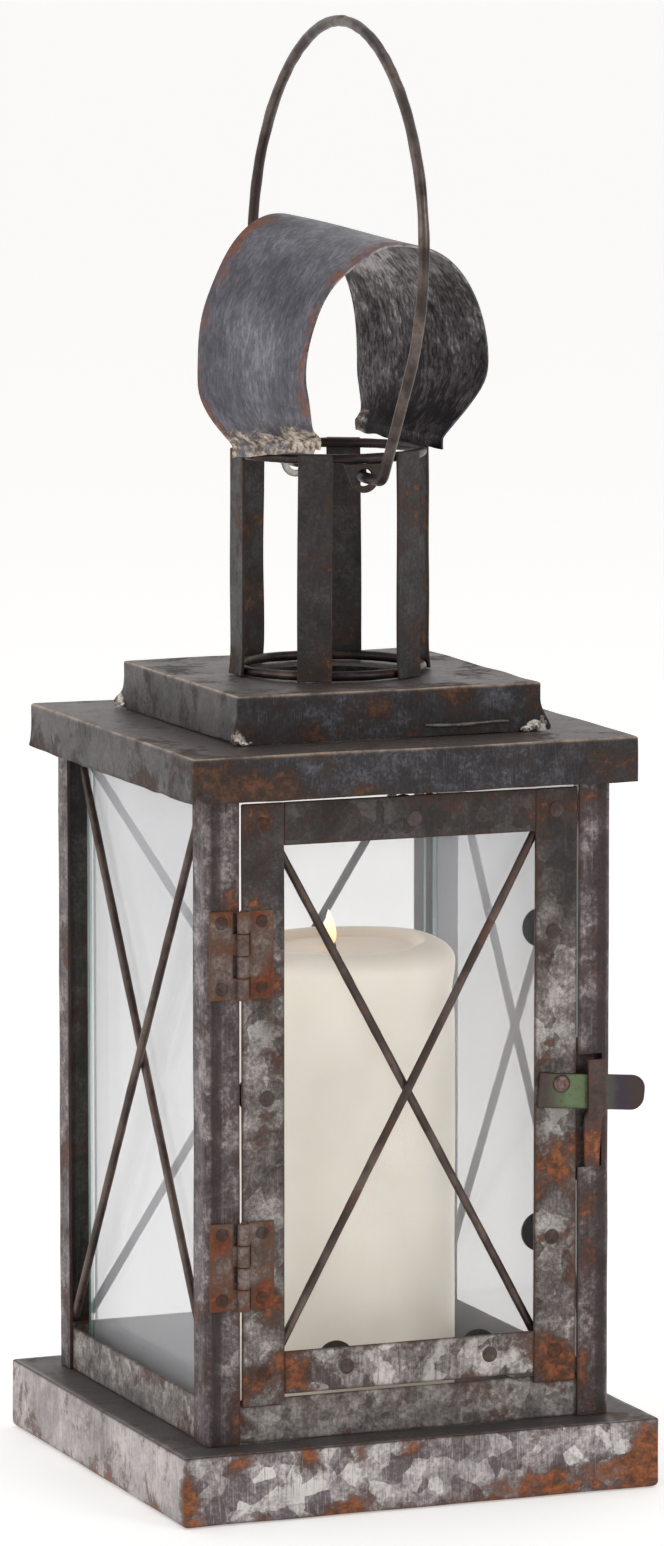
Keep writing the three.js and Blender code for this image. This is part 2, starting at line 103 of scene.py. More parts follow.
def makeStudio():
    world = bpy.data.worlds.new("studio")
    scene.world = world
    world.use_nodes = True
    tree = world.node_tree
    tree.nodes.clear()
    way = put(tree, "TexCoord", out="Generated")
    side, depth, height = [put(tree, "SeparateXYZ", {}, {0: way}, i) for i in range(3)]
    depth = put(tree, "MapRange", eased, {0: depth, 1: -0.7, 2: 0.5, 3: studio["front"], 4: studio["back"]})
    side = put(tree, "MapRange", eased, {0: side, 1: -0.1, 2: -0.8, 3: 0.0, 4: studio["left"]})
    around = put(tree, "Math", {"operation": "ADD"}, {0: depth, 1: side})
    strength = put(tree, "MapRange", {}, {0: height, 1: 0.1, 2: 0.8, 3: around, 4: studio["top"]})
    glow = put(tree, "Background", {}, {"Color": linear("#FFFFFF"), "Strength": strength})
    put(tree, "OutputWorld", {}, {"Surface": glow})
    bpy.ops.mesh.primitive_plane_add(size=studio["floorSize"], location=(0, 0, -0.2 * mm))
    floor = bpy.context.object
    floor.name = "floor"
    paper = bpy.data.materials.new("seamlessPaper")
    paper.use_nodes = True
    shader = paper.node_tree.nodes["Principled BSDF"]
    shader.inputs["Base Color"].default_value = linear(studio["floor"])
    shader.inputs["Roughness"].default_value = 0.9
    shader.inputs["Emission Color"].default_value = linear(studio["floor"])
    shader.inputs["Emission Strength"].default_value = studio["floorGlow"]
    floor.data.materials.append(paper)
    for name, (place, aim, size, watts) in lamps.items():
        light = bpy.data.lights.new(name, "AREA")
        light.energy = watts
        light.size = size
        panel = bpy.data.objects.new(name, light)
        panel.location = place
        panel.rotation_euler = (Vector(aim) - Vector(place)).to_track_quat("-Z", "Y").to_euler()
        scene.collection.objects.link(panel)
    scene.view_settings.view_transform = "Standard"


makeCamera()
makeStudio()
print("camera, floor and lights made")

# Rust stains on the metal: centre and radius in mm, then strength. Each vertex takes the sum of
# strength * exp(-(distance / radius)^2).
stains = np.array([
    (-68, -77, 238, 9, 0.17), (-56, -77, 236, 9, 0.16), (-46, -77, 234, 7, 0.12), (74, -77, 236, 6, 0.2),
    (66, -77, 240, 6, 0.1), (-77, -62, 236, 10, 0.08), (-77, 72, 238, 9, 0.17), (-20, -77, 233, 3, 0.14),
    (-36, -53, 256, 4, 0.16), (-28, -53, 251, 5, 0.18), (-4, -53, 257, 6, 0.18), (-49, -53, 250, 4, 0.2),
    (24, -53, 258, 6, 0.18), (14, -53, 259, 5, 0.1), (50, -53, 253, 5, 0.16), (-53, 40, 250, 5, 0.08),
    (-50, -70, 222, 7, 0.12), (-37, -70, 223, 4, 0.12), (38, -70, 226, 4, 0.12), (50, -70, 224, 7, 0.14),
    (-50, -70, 208, 4, 0.12), (-52, -70, 199, 4, 0.14), (-62, -70, 199, 4, 0.14), (50, -70, 104, 9, 0.2),
    (55, -70, 112, 6, 0.16), (47, -70, 147, 4, 0.14), (54, -70, 86, 5, 0.12), (-50, -70, 122, 5, 0.1),
    (-52, -70, 62, 6, 0.12), (50, -70, 46, 6, 0.18), (52, -70, 40, 7, 0.2), (-39, -70, 49, 5, 0.18),
    (-38, -70, 42, 5, 0.14), (37, -70, 48, 4, 0.12), (-52, -70, 42, 6, 0.16), (-47, -70, 50, 4, 0.12),
    (20, -70, 40, 4, 0.08), (-62, -70, 62, 5, 0.12), (-63, -70, 34, 7, 0.14), (62, -70, 74, 6, 0.14),
    (62, -70, 92, 6, 0.16), (62, -70, 44, 6, 0.14), (62, -70, 30, 5, 0.14), (66, -70, 200, 8, 0.08),
    (-70, -64, 210, 6, 0.08), (-70, 62, 100, 12, 0.08), (64, -70, 172, 6, 0.1), (62, -70, 224, 5, 0.1),
    (-62, -82, 20.5, 5, 0.2), (-42, -82, 19.5, 5, 0.22), (-22, -82, 20.5, 5, 0.22), (-6, -82, 21, 4.5, 0.2),
    (41, -82, 21, 5, 0.18), (20, -82, 21, 3.5, 0.1), (-82, -82, 12, 5, 0.26), (-80, -82, 2, 6, 0.18),
    (-24, -82, 4, 6, 0.2), (-30, -82, 2, 5, 0.14), (6, -82, 2, 5, 0.12), (26, -82, 3, 6, 0.18),
    (38, -82, 5, 7, 0.2), (50, -82, 4, 7, 0.2), (62, -82, 6, 7, 0.18), (74, -82, 5, 7, 0.22),
    (80, -82, 14, 6, 0.2), (82, -82, 6, 7, 0.2), (-52, -82, 2, 4, 0.12), (-82, 76, 10, 9, 0.12),
    (-82, -50, 6, 8, 0.1), (-82, 0, 2, 9, 0.1), (82, 0, 10, 18, 0.12), (82, 60, 10, 14, 0.12),
    (0, 82, 10, 20, 0.1), (-49.5, -71, 172, 5, 0.26), (-53, -71, 168, 4, 0.2), (-65, -71, 193, 3.5, 0.14),
    (-65, -71, 169, 4, 0.16), (-50, -71, 192, 4, 0.12), (-65, -71, 90, 4, 0.16), (-66, -71, 72, 6, 0.22),
    (-50, -71, 70, 5, 0.22), (-50, -71, 92, 4, 0.12), (64, -70, 112, 5, 0.26), (64, -71, 118, 4, 0.16),
    (0, 70, 60, 24, 0.08), (50, 70, 200, 16, 0.1), (77, 20, 238, 14, 0.12), (0, 77, 238, 18, 0.12),
    (-70, 68, 60, 8, 0.1), (70, 64, 60, 10, 0.12),
], dtype=float)


def gridFaces(rows, columns, wrapRows, wrapColumns):
    i = np.arange(rows if wrapRows else rows - 1)[:, None]
    j = np.arange(columns if wrapColumns else columns - 1)[None, :]
    here, there, side = i * columns, (i + 1) % rows * columns, (j + 1) % columns
    return np.stack([here + j, here + side, there + side, there + j], -1).reshape(-1, 4)


def addMesh(name, points, faces, material, marks=None, sharpAngle=38):
    mesh = bpy.data.meshes.new(name)
    mesh.vertices.add(len(points))
    mesh.vertices.foreach_set("co", np.ascontiguousarray(points, dtype=np.float32).ravel())
    mesh.loops.add(faces.size)
    mesh.loops.foreach_set("vertex_index", np.ascontiguousarray(faces, dtype=np.int32).ravel())
    mesh.polygons.add(len(faces))
    mesh.polygons.foreach_set("loop_start", np.arange(0, faces.size, 4, dtype=np.int32))
    mesh.update(calc_edges=True)
    gaps = np.linalg.norm(points[:, None] / mm - stains[None, :, :3], axis=-1) / stains[:, 3]
    marks = {**(marks or {}), "stain": (np.exp(-gaps * gaps) * stains[:, 4]).sum(1)}
    for key, values in marks.items():
        flat = np.ascontiguousarray(values, dtype=np.float32)
        layer = mesh.attributes.new(key, "FLOAT_VECTOR" if flat.ndim == 2 else "FLOAT", "POINT")
        layer.data.foreach_set("vector" if flat.ndim == 2 else "value", flat.ravel())
    work = bmesh.new()
    work.from_mesh(mesh)
    bmesh.ops.remove_doubles(work, verts=work.verts, dist=3e-6)
    bmesh.ops.delete(work, geom=[e for e in work.edges if not e.link_faces], context="EDGES")
    bmesh.ops.recalc_face_normals(work, faces=work.faces)
    work.to_mesh(mesh)
    work.free()
    mesh.polygons.foreach_set("use_smooth", np.ones(len(mesh.polygons), dtype=bool))
    mesh.set_sharp_from_angle(angle=math.radians(sharpAngle))
    mesh.materials.append(material)
    piece = bpy.data.objects.new(name, mesh)
    scene.collection.objects.link(piece)
    return piece


def joinPieces(name, pieces):  # several closed shells become one piece
    work = bmesh.new()
    finishes = []
    for piece in pieces:
        finish = piece.data.materials[0]
        if finish not in finishes:
            finishes.append(finish)
        before = len(work.faces)
        work.from_mesh(piece.data)
        work.faces.ensure_lookup_table()
        for face in work.faces[before:]:
            face.material_index = finishes.index(finish)
    mesh = pieces[0].data
    work.to_mesh(mesh)
    work.free()
    for finish in finishes[1:]:
        mesh.materials.append(finish)
    for piece in pieces[1:]:
        bpy.data.objects.remove(piece)
    pieces[0].name = mesh.name = name
    return pieces[0]


def settle(piece, body, slot, *nodes):
    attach(piece, body)
    if nodes:
        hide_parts(*nodes)
    return piece


def ripple(points, size, seed):  # six seeded sine waves through space, together about -1 to 1
    random = np.random.default_rng(seed)
    waves = random.normal(size=(6, 3))
    waves /= np.linalg.norm(waves, axis=1, keepdims=True)
    waves *= 2 * math.pi / size * random.uniform(0.6, 1.7, (6, 1))
    return np.sin(points @ waves.T + random.uniform(0, 2 * math.pi, 6)).sum(-1) / 3


def smoothStep(value, low, high):
    t = np.clip((value - low) / (high - low), 0, 1)
    return t * t * (3 - 2 * t)


def unit(vectors):
    return vectors / np.maximum(np.linalg.norm(vectors, axis=-1, keepdims=True), 1e-12)


def gridNormals(grid, wrapRows):  # cross product of the two directions of a grid
    if wrapRows:
        rowWay = np.roll(grid, -1, 0) - np.roll(grid, 1, 0)
    else:
        rowWay = np.gradient(grid, axis=0)
    return unit(np.cross(rowWay, np.gradient(grid, axis=1)))


# A sheet: its outer and inner surfaces on one grid, joined round their free edges.
# pole says that the first column has shrunk to a point.
def makeShell(name, outer, inner, wrapRows, material, marks=None, pole=False, sharpAngle=38):
    rows, columns = outer.shape[:2]
    loop = np.concatenate([outer, inner[:, ::-1]], axis=1)
    faces = gridFaces(rows, 2 * columns, wrapRows, not pole)
    if not wrapRows:
        j = np.arange(columns - 1)
        cap = np.stack([j, j + 1, 2 * columns - 2 - j, 2 * columns - 1 - j], -1)
        faces = np.concatenate([faces, cap, cap + (rows - 1) * 2 * columns])
    sheetMarks = {}
    for key, values in (marks or {}).items():
        both = np.concatenate([values, values[:, ::-1]], axis=1)
        sheetMarks[key] = both.reshape(-1, 3) if both.ndim == 3 else both.ravel()
    inside = np.zeros(loop.shape[:2])
    inside[:, columns:] = 1
    sheetMarks["inside"] = inside.ravel()
    return addMesh(name, loop.reshape(-1, 3), faces, material, sheetMarks, sharpAngle)


# A wire: circles of the given radius square to a path, its ends closed by half-round tips
def makeWire(name, path, radius, material, closed=False, sideWay=(0, 0, 1), sides=20, dent=0.0):
    path = np.asarray(path, dtype=float)
    radii = np.full(len(path), float(radius)) if np.isscalar(radius) else np.asarray(radius, dtype=float)
    if closed:
        along = unit(np.roll(path, -1, 0) - np.roll(path, 1, 0))
    else:
        tip = np.array([0.0, 0.08, 0.3, 0.65])
        first, last = unit(path[0] - path[1]), unit(path[-1] - path[-2])
        lead = path[0] + first * (radii[0] * 0.5 * (1 - tip))[:, None]
        tail = path[-1] + last * (radii[-1] * 0.5 * (1 - tip[::-1]))[:, None]
        shrink = np.sqrt(1 - (1 - tip) ** 2)
        path = np.concatenate([lead, path, tail])
        radii = np.concatenate([radii[0] * shrink, radii, radii[-1] * shrink[::-1]])
        along = unit(np.gradient(path, axis=0))
    across = unit(np.cross(along, np.asarray(sideWay, dtype=float)))
    normal = np.cross(across, along)
    angle = np.linspace(0, 2 * math.pi, sides, endpoint=False)
    ring = np.cos(angle)[None, :, None] * across[:, None] + np.sin(angle)[None, :, None] * normal[:, None]
    grid = path[:, None] + ring * radii[:, None, None]
    if dent:
        grid = grid + ring * (ripple(grid, 9 * mm, 5) * dent * (radii / radii.max())[:, None])[..., None]
    faces = gridFaces(len(path), sides, closed, True)
    return addMesh(name, grid.reshape(-1, 3), faces, material, {}, 60)


# A turned shape: a profile of radius and distance along the axis, carried round a full circle
def makeTurned(name, profile, centre, axis, material, segments=40, sharpAngle=38, reshape=None, marks=None):
    profile = np.asarray(profile, dtype=float)
    angle = np.linspace(0, 2 * math.pi, segments, endpoint=False)
    axis = unit(np.asarray(axis, dtype=float))
    across = unit(np.cross(axis, [1.0, 0, 0] if abs(axis[0]) < 0.9 else [0, 1.0, 0]))
    up = np.cross(axis, across)
    ring = np.cos(angle)[:, None] * across + np.sin(angle)[:, None] * up
    grid = np.asarray(centre) + ring[:, None] * profile[None, :, :1] + axis * profile[None, :, 1:]
    if reshape:
        grid = reshape(grid)
    faces = gridFaces(segments, len(profile), True, False)
    return addMesh(name, grid.reshape(-1, 3), faces, material, marks, sharpAngle)


# Rounded rectangle section: corner arcs with extra points close to the edges of the wide faces
def barSection(halfWide, halfThick, rounding):
    inset = np.array([0.5, 1.4, 3.0]) * mm
    near = halfWide - rounding - inset[inset < halfWide * 0.6]
    face = np.concatenate([near, np.linspace(near[-1], -near[-1], 6)[1:-1], -near[::-1]])
    arc = np.linspace(0, math.pi / 2, 4)
    curve = np.stack([halfWide - rounding + rounding * np.cos(arc),
                      halfThick - rounding + rounding * np.sin(arc)], -1)
    top = np.stack([face, np.full(len(face), halfThick)], -1)
    half = np.concatenate([curve, top, curve[::-1] * [-1, 1]])
    return np.concatenate([half, -half])


# A flat bar: that section carried straight along one axis, its ends pulled in by the rounding,
# then bowed by a slow ripple. rim is exp(-distance to the nearest edge / 1.6 mm).
def makeBar(name, low, high, along, across, material, turn=0.0, rounding=0.25 * mm, bow=0.1 * mm, seed=1,
            bend=None, cut=False):
    low, high = np.asarray(low, dtype=float), np.asarray(high, dtype=float)
    thick = 3 - along - across
    size = (high - low) / 2
    rounding = min(rounding, size[thick] * 0.9)
    section = barSection(size[across], size[thick], rounding)
    inset = np.array([0, 0, 0.5, 1.4, 3.0]) * mm
    inset[1:] += rounding
    inner = size[along] - inset
    count = max(3, int(2 * inner[-1] / (3 * mm)))
    station = np.concatenate([-inner, np.linspace(-inner[-1], inner[-1], count)[1:-1], inner[::-1]])
    pull = np.zeros(len(station))
    pull[[0, -1]] = rounding
    grid = np.zeros((len(station) + 2, len(section), 3))
    grid[1:-1, :, along] = station[:, None]
    grid[1:-1, :, across] = section[None, :, 0] * (1 - pull / size[across])[:, None]
    grid[1:-1, :, thick] = section[None, :, 1] * (1 - pull / size[thick])[:, None]
    grid[[0, -1]] = grid[[1, -2]]
    grid[[0, -1], :, thick] = 0
    edge = np.minimum(size[across] - np.abs(grid[..., across]), size[along] - np.abs(grid[..., along]))
    marks = {"rim": np.exp(-np.maximum(edge, 0) / (1.6 * mm)).ravel()}
    if cut:
        marks = {"cut": np.clip(1 - edge / rounding, 0, 1).ravel()}
    grid += (low + high) / 2
    grid[..., thick] += ripple(grid, 45 * mm, seed) * bow
    if bend:
        grid = bend(grid)
    if turn:
        grid = grid @ np.array(Matrix.Rotation(turn, 3, "Z")).T
    return addMesh(name, grid.reshape(-1, 3), gridFaces(len(grid), len(section), False, True), material,
                   marks)


# A flat plate with a round hole: points between the hole's circle and an outline seen from its centre,
# front and back faces eased in at their edges
def makeHoledPlate(name, outline, hole, thick, matrix, material):
    outline = np.asarray(outline, dtype=float)
    reach = np.linalg.norm(outline, axis=1)
    ease = 0.22 * mm
    steps = np.array([0, 0.08, 0.25, 0.45, 0.65, 0.82, 0.93, 1])
    radius = hole + ease + steps[None, :] * (reach - hole - 2 * ease)[:, None]
    radius = np.concatenate([np.full((len(reach), 1), hole), radius, reach[:, None]], axis=1)
    depth = np.full(radius.shape, thick / 2)
    depth[:, [0, -1]] -= ease
    flat = unit(outline)[:, None] * radius[..., None]
    sides = [np.concatenate([flat, (way * depth)[..., None]], -1) @ matrix[:3, :3].T + matrix[:3, 3]
             for way in (1, -1)]
    rim = np.exp(-(reach[:, None] - radius) / (1.4 * mm))
    return makeShell(name, sides[0], sides[1], True, material, {"rim": rim})


# Rounded squares, one for each half width: P = half * A + (half - corner) * B + corner * C, with A and B
# along the straight sides and C the corner arcs
def squareRings(half, corner, perSide=44, perCorner=6):
    near = np.array([0.952, 0.966, 0.977, 0.986, 0.994])
    t = np.sort(np.concatenate([np.linspace(-1, 1, perSide, endpoint=False), near, -near]))
    a = np.linspace(0, math.pi / 2, perCorner, endpoint=False)
    straight = np.stack([np.ones(len(t)), np.zeros(len(t))], -1)
    partA = np.concatenate([straight, np.zeros((perCorner, 2))])
    partB = np.concatenate([np.stack([np.zeros(len(t)), t], -1), np.ones((perCorner, 2))])
    partC = np.concatenate([np.zeros((len(t), 2)), np.stack([np.cos(a), np.sin(a)], -1)])
    quarter = (partA[:, None] * half[:, None] + partB[:, None] * (half - corner)[:, None]
               + partC[:, None] * corner[:, None])
    turns = [np.array(Matrix.Rotation(k * math.pi / 2, 2)).T for k in range(4)]
    return np.concatenate([quarter @ turn for turn in turns])


# A folded tray: a profile of inset and height carried round a rounded square, the innermost squares
# eased into circles where there is a round hole, and dented inwards only. rim is nearness to the hem and
# the corner seams, fold is nearness to the bent edges, and level is the flat top, which takes a painted tone
# for the light it gets. The left and back skirts and the flat top carry a further mark that paints them a
# paler flat
# tone with less crystal pattern: painted light on the sides that face the brighter light.
def makeTray(name, half, corner, profile, material, thickness=1.0 * mm, dent=0.2 * mm, seed=3, hole=0.0,
             reshape=None, tin=None):
    profile = np.asarray(profile, dtype=float)
    way = unit(np.gradient(profile, axis=0))
    outward = np.stack([way[:, 1], -way[:, 0]], -1)
    layers = []
    for depth in (0, thickness):
        inset, height = (profile - outward * depth).T
        width = np.maximum(half - inset, 0)
        rings = squareRings(width, np.minimum(max(corner - depth, 0.3 * mm), width))
        if hole:
            toCircle = smoothStep(-width, -hole - 16 * mm, -hole - 1 * mm)[None, :, None]
            rings = rings * (1 - toCircle) + unit(rings) * width[None, :, None] * toCircle
        rise = np.broadcast_to(height[None, :, None], rings.shape[:2] + (1,))
        layers.append(np.concatenate([rings, rise], -1))
    outer, inner = layers
    steps = np.concatenate([[0], np.cumsum(np.linalg.norm(np.diff(profile, axis=0), axis=1))])
    hem = np.broadcast_to(np.exp(-(profile[:, 1] - profile[:, 1].min()) / (2.4 * mm)), outer.shape[:2])
    bend = steps[np.argmax(profile[:, 1] - profile[:, 0])]
    fold = np.broadcast_to(np.exp(-((steps - bend) / (0.6 * mm)) ** 2), outer.shape[:2])
    onTop = profile[:, 1] > profile[:, 1].max() - mm
    level = np.broadcast_to(smoothStep(profile[:, 0], 0.5 * mm, 2.5 * mm) * onTop, outer.shape[:2])
    turned = np.maximum(-outer[..., 0], outer[..., 1]) - np.maximum(outer[..., 0], -outer[..., 1])
    sideLitCalm = np.maximum(smoothStep(turned, -2 * mm, 2 * mm), level)
    reach = np.sort(np.abs(outer[..., :2]), axis=-1)
    onSkirt = smoothStep(reach[..., 1], half - 2 * mm, half - 0.6 * mm)
    seam = 0.7 * np.exp(-(half - reach[..., 0]) / (2.5 * mm)) * onSkirt
    push = gridNormals(outer, True) * ((1.6 - ripple(outer, 42 * mm, seed)) * 0.5 * dent)[..., None]
    outer, inner = outer + push, inner + push
    if reshape:
        outer, inner = reshape(outer), reshape(inner)
    marks = {"rim": np.maximum(hem, seam), "fold": fold, "level": level, "sideLitCalm": sideLitCalm}
    if tin:
        marks["tin"] = tin(outer)
    return makeShell(name, outer, inner, True, material, marks, pole=profile[0, 0] >= half - 1e-6)


def arcPoints(centre, radius, start, end, count):  # points on an arc, in degrees
    angle = np.radians(np.linspace(start, end, count))
    return np.stack([centre[0] + radius * np.cos(angle), centre[1] + radius * np.sin(angle)], -1)


def linePoints(start, end, count):
    return np.linspace(start, end, count, endpoint=False)


def newMaterial(name):
    material = bpy.data.materials.new(name)
    material.use_nodes = True
    return material, material.node_tree, material.node_tree.nodes["Principled BSDF"]


def setRamp(socket, *stops):  # positions and colours of a colour ramp
    elements = socket.node.color_ramp.elements
    while len(elements) < len(stops):
        elements.new(0.5)
    for element, (position, colour) in zip(elements, stops):
        element.position = position
        element.color = linear(colour)


def connect(tree, shader, sockets):
    for key, value in sockets.items():
        tree.links.new(value, shader.inputs[key])


# Heights in metres where the door's strips start to darken, and where they are darkest
darkenFrom, darkenFull = 0.2, 0.25
zincMarks = ("sideLitCalm", "level", "inside", "rim", "stain", "fold", "tin")


# Hot-dip galvanized sheet, weathered. Zinc freezes in crystals, so the surface is a patchwork of greys
# a few millimetres across; handling scratches it, soot dulls it in clouds, and it rusts from cut edges,
# seams and joints, dark brown first and then orange scale that stands a little proud.
def weatheredZinc(name, look):
    material, tree, shader = newMaterial(name)
    sideLitCalm, level, insideShadeMask, rim, stain, fold, tin = [put(tree, "Attribute", {"attribute_name": mark}, {}, "Fac")
                                                  for mark in zincMarks]
    where = put(tree, "TexCoord", out="Object")
    wander = put(tree, "TexNoise", {}, {"Vector": where, "Scale": 1 / (5 * mm), "Detail": 4.0}, "Color")
    bent = put(tree, "VectorMath", scaleAdd, {0: wander, 1: [look["spangle"] * 0.5] * 3, 2: where})
    small = put(tree, "TexVoronoi", {}, {"Vector": bent, "Scale": 1 / look["spangle"]}, "Color")
    large = put(tree, "TexVoronoi", {}, {"Vector": bent, "Scale": 0.4 / look["spangle"]}, "Color")
    crystals = put(tree, "Mix", blend, {0: 0.35, 6: small, 7: large}, 2)
    crystal = put(tree, "SeparateColor", {}, {0: crystals})
    grain = put(tree, "TexNoise", {}, {"Vector": where, "Scale": 1 / (1.3 * mm), "Detail": 6.0,
                                       "Roughness": 0.72})
    patch = put(tree, "TexNoise", {}, {"Vector": where, "Scale": 1 / (9 * mm), "Detail": 7.0,
                                       "Roughness": 0.68})
    mottle = put(tree, "Mix", {}, {0: 0.5, 2: grain, 3: patch})
    # Painted light: the left and back skirts and the flat top take a paler flat tone with less crystal
    # pattern
    still = put(tree, "Math", times, {0: sideLitCalm, 1: look["sideLitCalm"]})
    facet = put(tree, "MapRange", {}, {0: crystal, 3: -look["facets"], 4: look["facets"]})
    lively = put(tree, "Math", {"operation": "SUBTRACT"}, {0: 1.0, 1: sideLitCalm})
    lively = put(tree, "Math", {"operation": "MAXIMUM"}, {0: lively, 1: 1 - look["sideLitCalm"]})
    tone = put(tree, "Math", scaleAdd, {0: facet, 1: lively, 2: mottle})
    zinc = put(tree, "ValToRGB", {}, {0: tone})
    setRamp(zinc, (0.36, look["dark"]), (0.5, look["mid"]), (0.63, look["light"]))
    zinc = put(tree, "Mix", blend, {0: still, 6: zinc, 7: linear(look["sideLitTone"])}, 2)
    cloud = put(tree, "TexNoise", {}, {"Vector": where, "Scale": 1 / (30 * mm), "Detail": 7.0,
                                       "Roughness": 0.65})
    grime = put(tree, "MapRange", eased, {0: cloud, 1: 0.42, 2: 0.64, 3: 0.0, 4: look["grime"]})
    colour = put(tree, "Mix", blend, {0: grime, 6: zinc, 7: linear(look["soot"])}, 2)
    drawn = put(tree, "Mapping", {}, {"Vector": where, "Scale": [1 / s for s in look["scratchSize"]]})
    hairs = put(tree, "TexNoise", {}, {"Vector": drawn, "Scale": 1.0, "Detail": 4.0, "Roughness": 0.65})
    darkHair = put(tree, "MapRange", {}, {0: hairs, 1: 0.56, 2: 0.72, 3: 0.0, 4: look["scratch"]})
    colour = put(tree, "Mix", blend, {0: darkHair, 6: colour, 7: linear(look["soot"])}, 2)
    paleHair = put(tree, "MapRange", {}, {0: hairs, 1: 0.44, 2: 0.28, 3: 0.0, 4: look["scratch"] * 0.7})
    colour = put(tree, "Mix", blend, {0: paleHair, 6: colour, 7: linear(look["light"])}, 2)
    # Painted shade and light on the flat top: it is mixed toward a set tone for the light it gets, darker on
    # the base and paler on the roof
    level = put(tree, "Math", times, {0: level, 1: look["levelLightingShare"]})
    colour = put(tree, "Mix", blend, {0: level, 6: colour, 7: linear(look["levelLightingTone"])}, 2)
    # The door strips grow darker towards the top, by height
    rise = put(tree, "SeparateXYZ", {}, {0: where}, 2)
    smoke = put(tree, "Math", scaleAdd, {0: cloud, 1: 0.08, 2: rise})
    smoke = put(tree, "MapRange", eased, {0: smoke, 1: darkenFrom, 2: darkenFull, 3: 0.0, 4: look["riseDarken"]})
    colour = put(tree, "Mix", blend, {0: smoke, 6: colour, 7: linear(look["soot"])}, 2)
    # Painted shade: the inner faces of the corner posts are mixed toward a near-black green-grey
    insideShadeMask = put(tree, "Math", times, {0: insideShadeMask, 1: look["insideShade"]})
    colour = put(tree, "Mix", blend, {0: insideShadeMask, 6: colour, 7: linear("#2A312D")}, 2)
    field = put(tree, "TexNoise", {}, {"Vector": where, "Scale": 1 / (17 * mm), "Detail": 9.0,
                                       "Roughness": 0.68, "Distortion": 0.5})
    smear = put(tree, "Mapping", {}, {"Vector": where, "Scale": [1 / s for s in look["smear"]]})
    crust = put(tree, "TexNoise", {}, {"Vector": smear, "Scale": 1.0, "Detail": 8.0, "Roughness": 0.72})
    field = put(tree, "Math", scaleAdd, {0: rim, 1: look["rimRust"], 2: field})
    field = put(tree, "Math", {"operation": "ADD"}, {0: field, 1: stain})
    field = put(tree, "Math", scaleAdd, {0: crust, 1: 0.36, 2: field})
    start = look["rustFrom"] + 0.18
    halo = put(tree, "MapRange", eased, {0: field, 1: start - 0.1, 2: start + 0.04})
    scale = put(tree, "MapRange", eased, {0: field, 1: start, 2: start + 0.13})
    oxide = put(tree, "ValToRGB", {}, {0: crust})
    setRamp(oxide, (0.36, look["halo"]), (0.47, look["rustDeep"]), (0.62, look["rust"]))
    veil = put(tree, "Math", times, {0: halo, 1: look["haloDepth"]})
    colour = put(tree, "Mix", blend, {0: veil, 6: colour, 7: linear(look["halo"])}, 2)
    colour = put(tree, "Mix", blend, {0: scale, 6: colour, 7: oxide}, 2)
    # Along the bent edges the worn tone is mixed in, patchy: on the roof a pale line that is painted
    # highlight as well as wear, on the posts a dark band beside the rounded corner that is painted shade, on
    # the base a dark brown line
    rubbed = put(tree, "MapRange", {}, {0: patch, 1: 0.4, 2: 0.56, 3: look["foldStrength"] * look["foldGap"],
                                        4: look["foldStrength"]})
    rubbed = put(tree, "Math", times, {0: fold, 1: rubbed})
    colour = put(tree, "Mix", blend, {0: rubbed, 6: colour, 7: linear(look["worn"])}, 2)
    hem = put(tree, "MapRange", {}, {0: rim, 1: 0.55, 2: 1.0, 3: 0.0, 4: look["darkRim"]})
    colour = put(tree, "Mix", blend, {0: hem, 6: colour, 7: linear(look["halo"])}, 2)
    tin = put(tree, "Math", scaleAdd, {0: grain, 1: 0.6, 2: tin})
    tin = put(tree, "MapRange", eased, {0: tin, 1: 0.75, 2: 0.9})
    tinned = put(tree, "ValToRGB", {}, {0: crust})
    setRamp(tinned, (0.4, "#5C4A40"), (0.5, "#B9AFA6"), (0.62, "#E2DDD7"))
    colour = put(tree, "Mix", blend, {0: tin, 6: colour, 7: tinned}, 2)
    metal = put(tree, "MapRange", {}, {0: halo, 3: look["metallic"], 4: 0.08})
    dull = put(tree, "MapRange", {}, {0: tone, 1: 0.3, 2: 0.7, 3: look["rough"] + 0.12,
                                      4: look["rough"] - 0.08})
    rough = put(tree, "Math", {"operation": "MULTIPLY_ADD", "use_clamp": True}, {0: halo, 1: 0.3, 2: dull})
    height = put(tree, "Math", scaleAdd, {0: scale, 1: 0.5, 2: mottle})
    height = put(tree, "Math", scaleAdd, {0: crust, 1: 0.5, 2: height})
    bump = put(tree, "Bump", {}, {"Height": height, "Strength": look["relief"], "Distance": 0.3 * mm})
    connect(tree, shader, {"Base Color": colour, "Metallic": metal, "Roughness": rough, "Normal": bump})
    return material


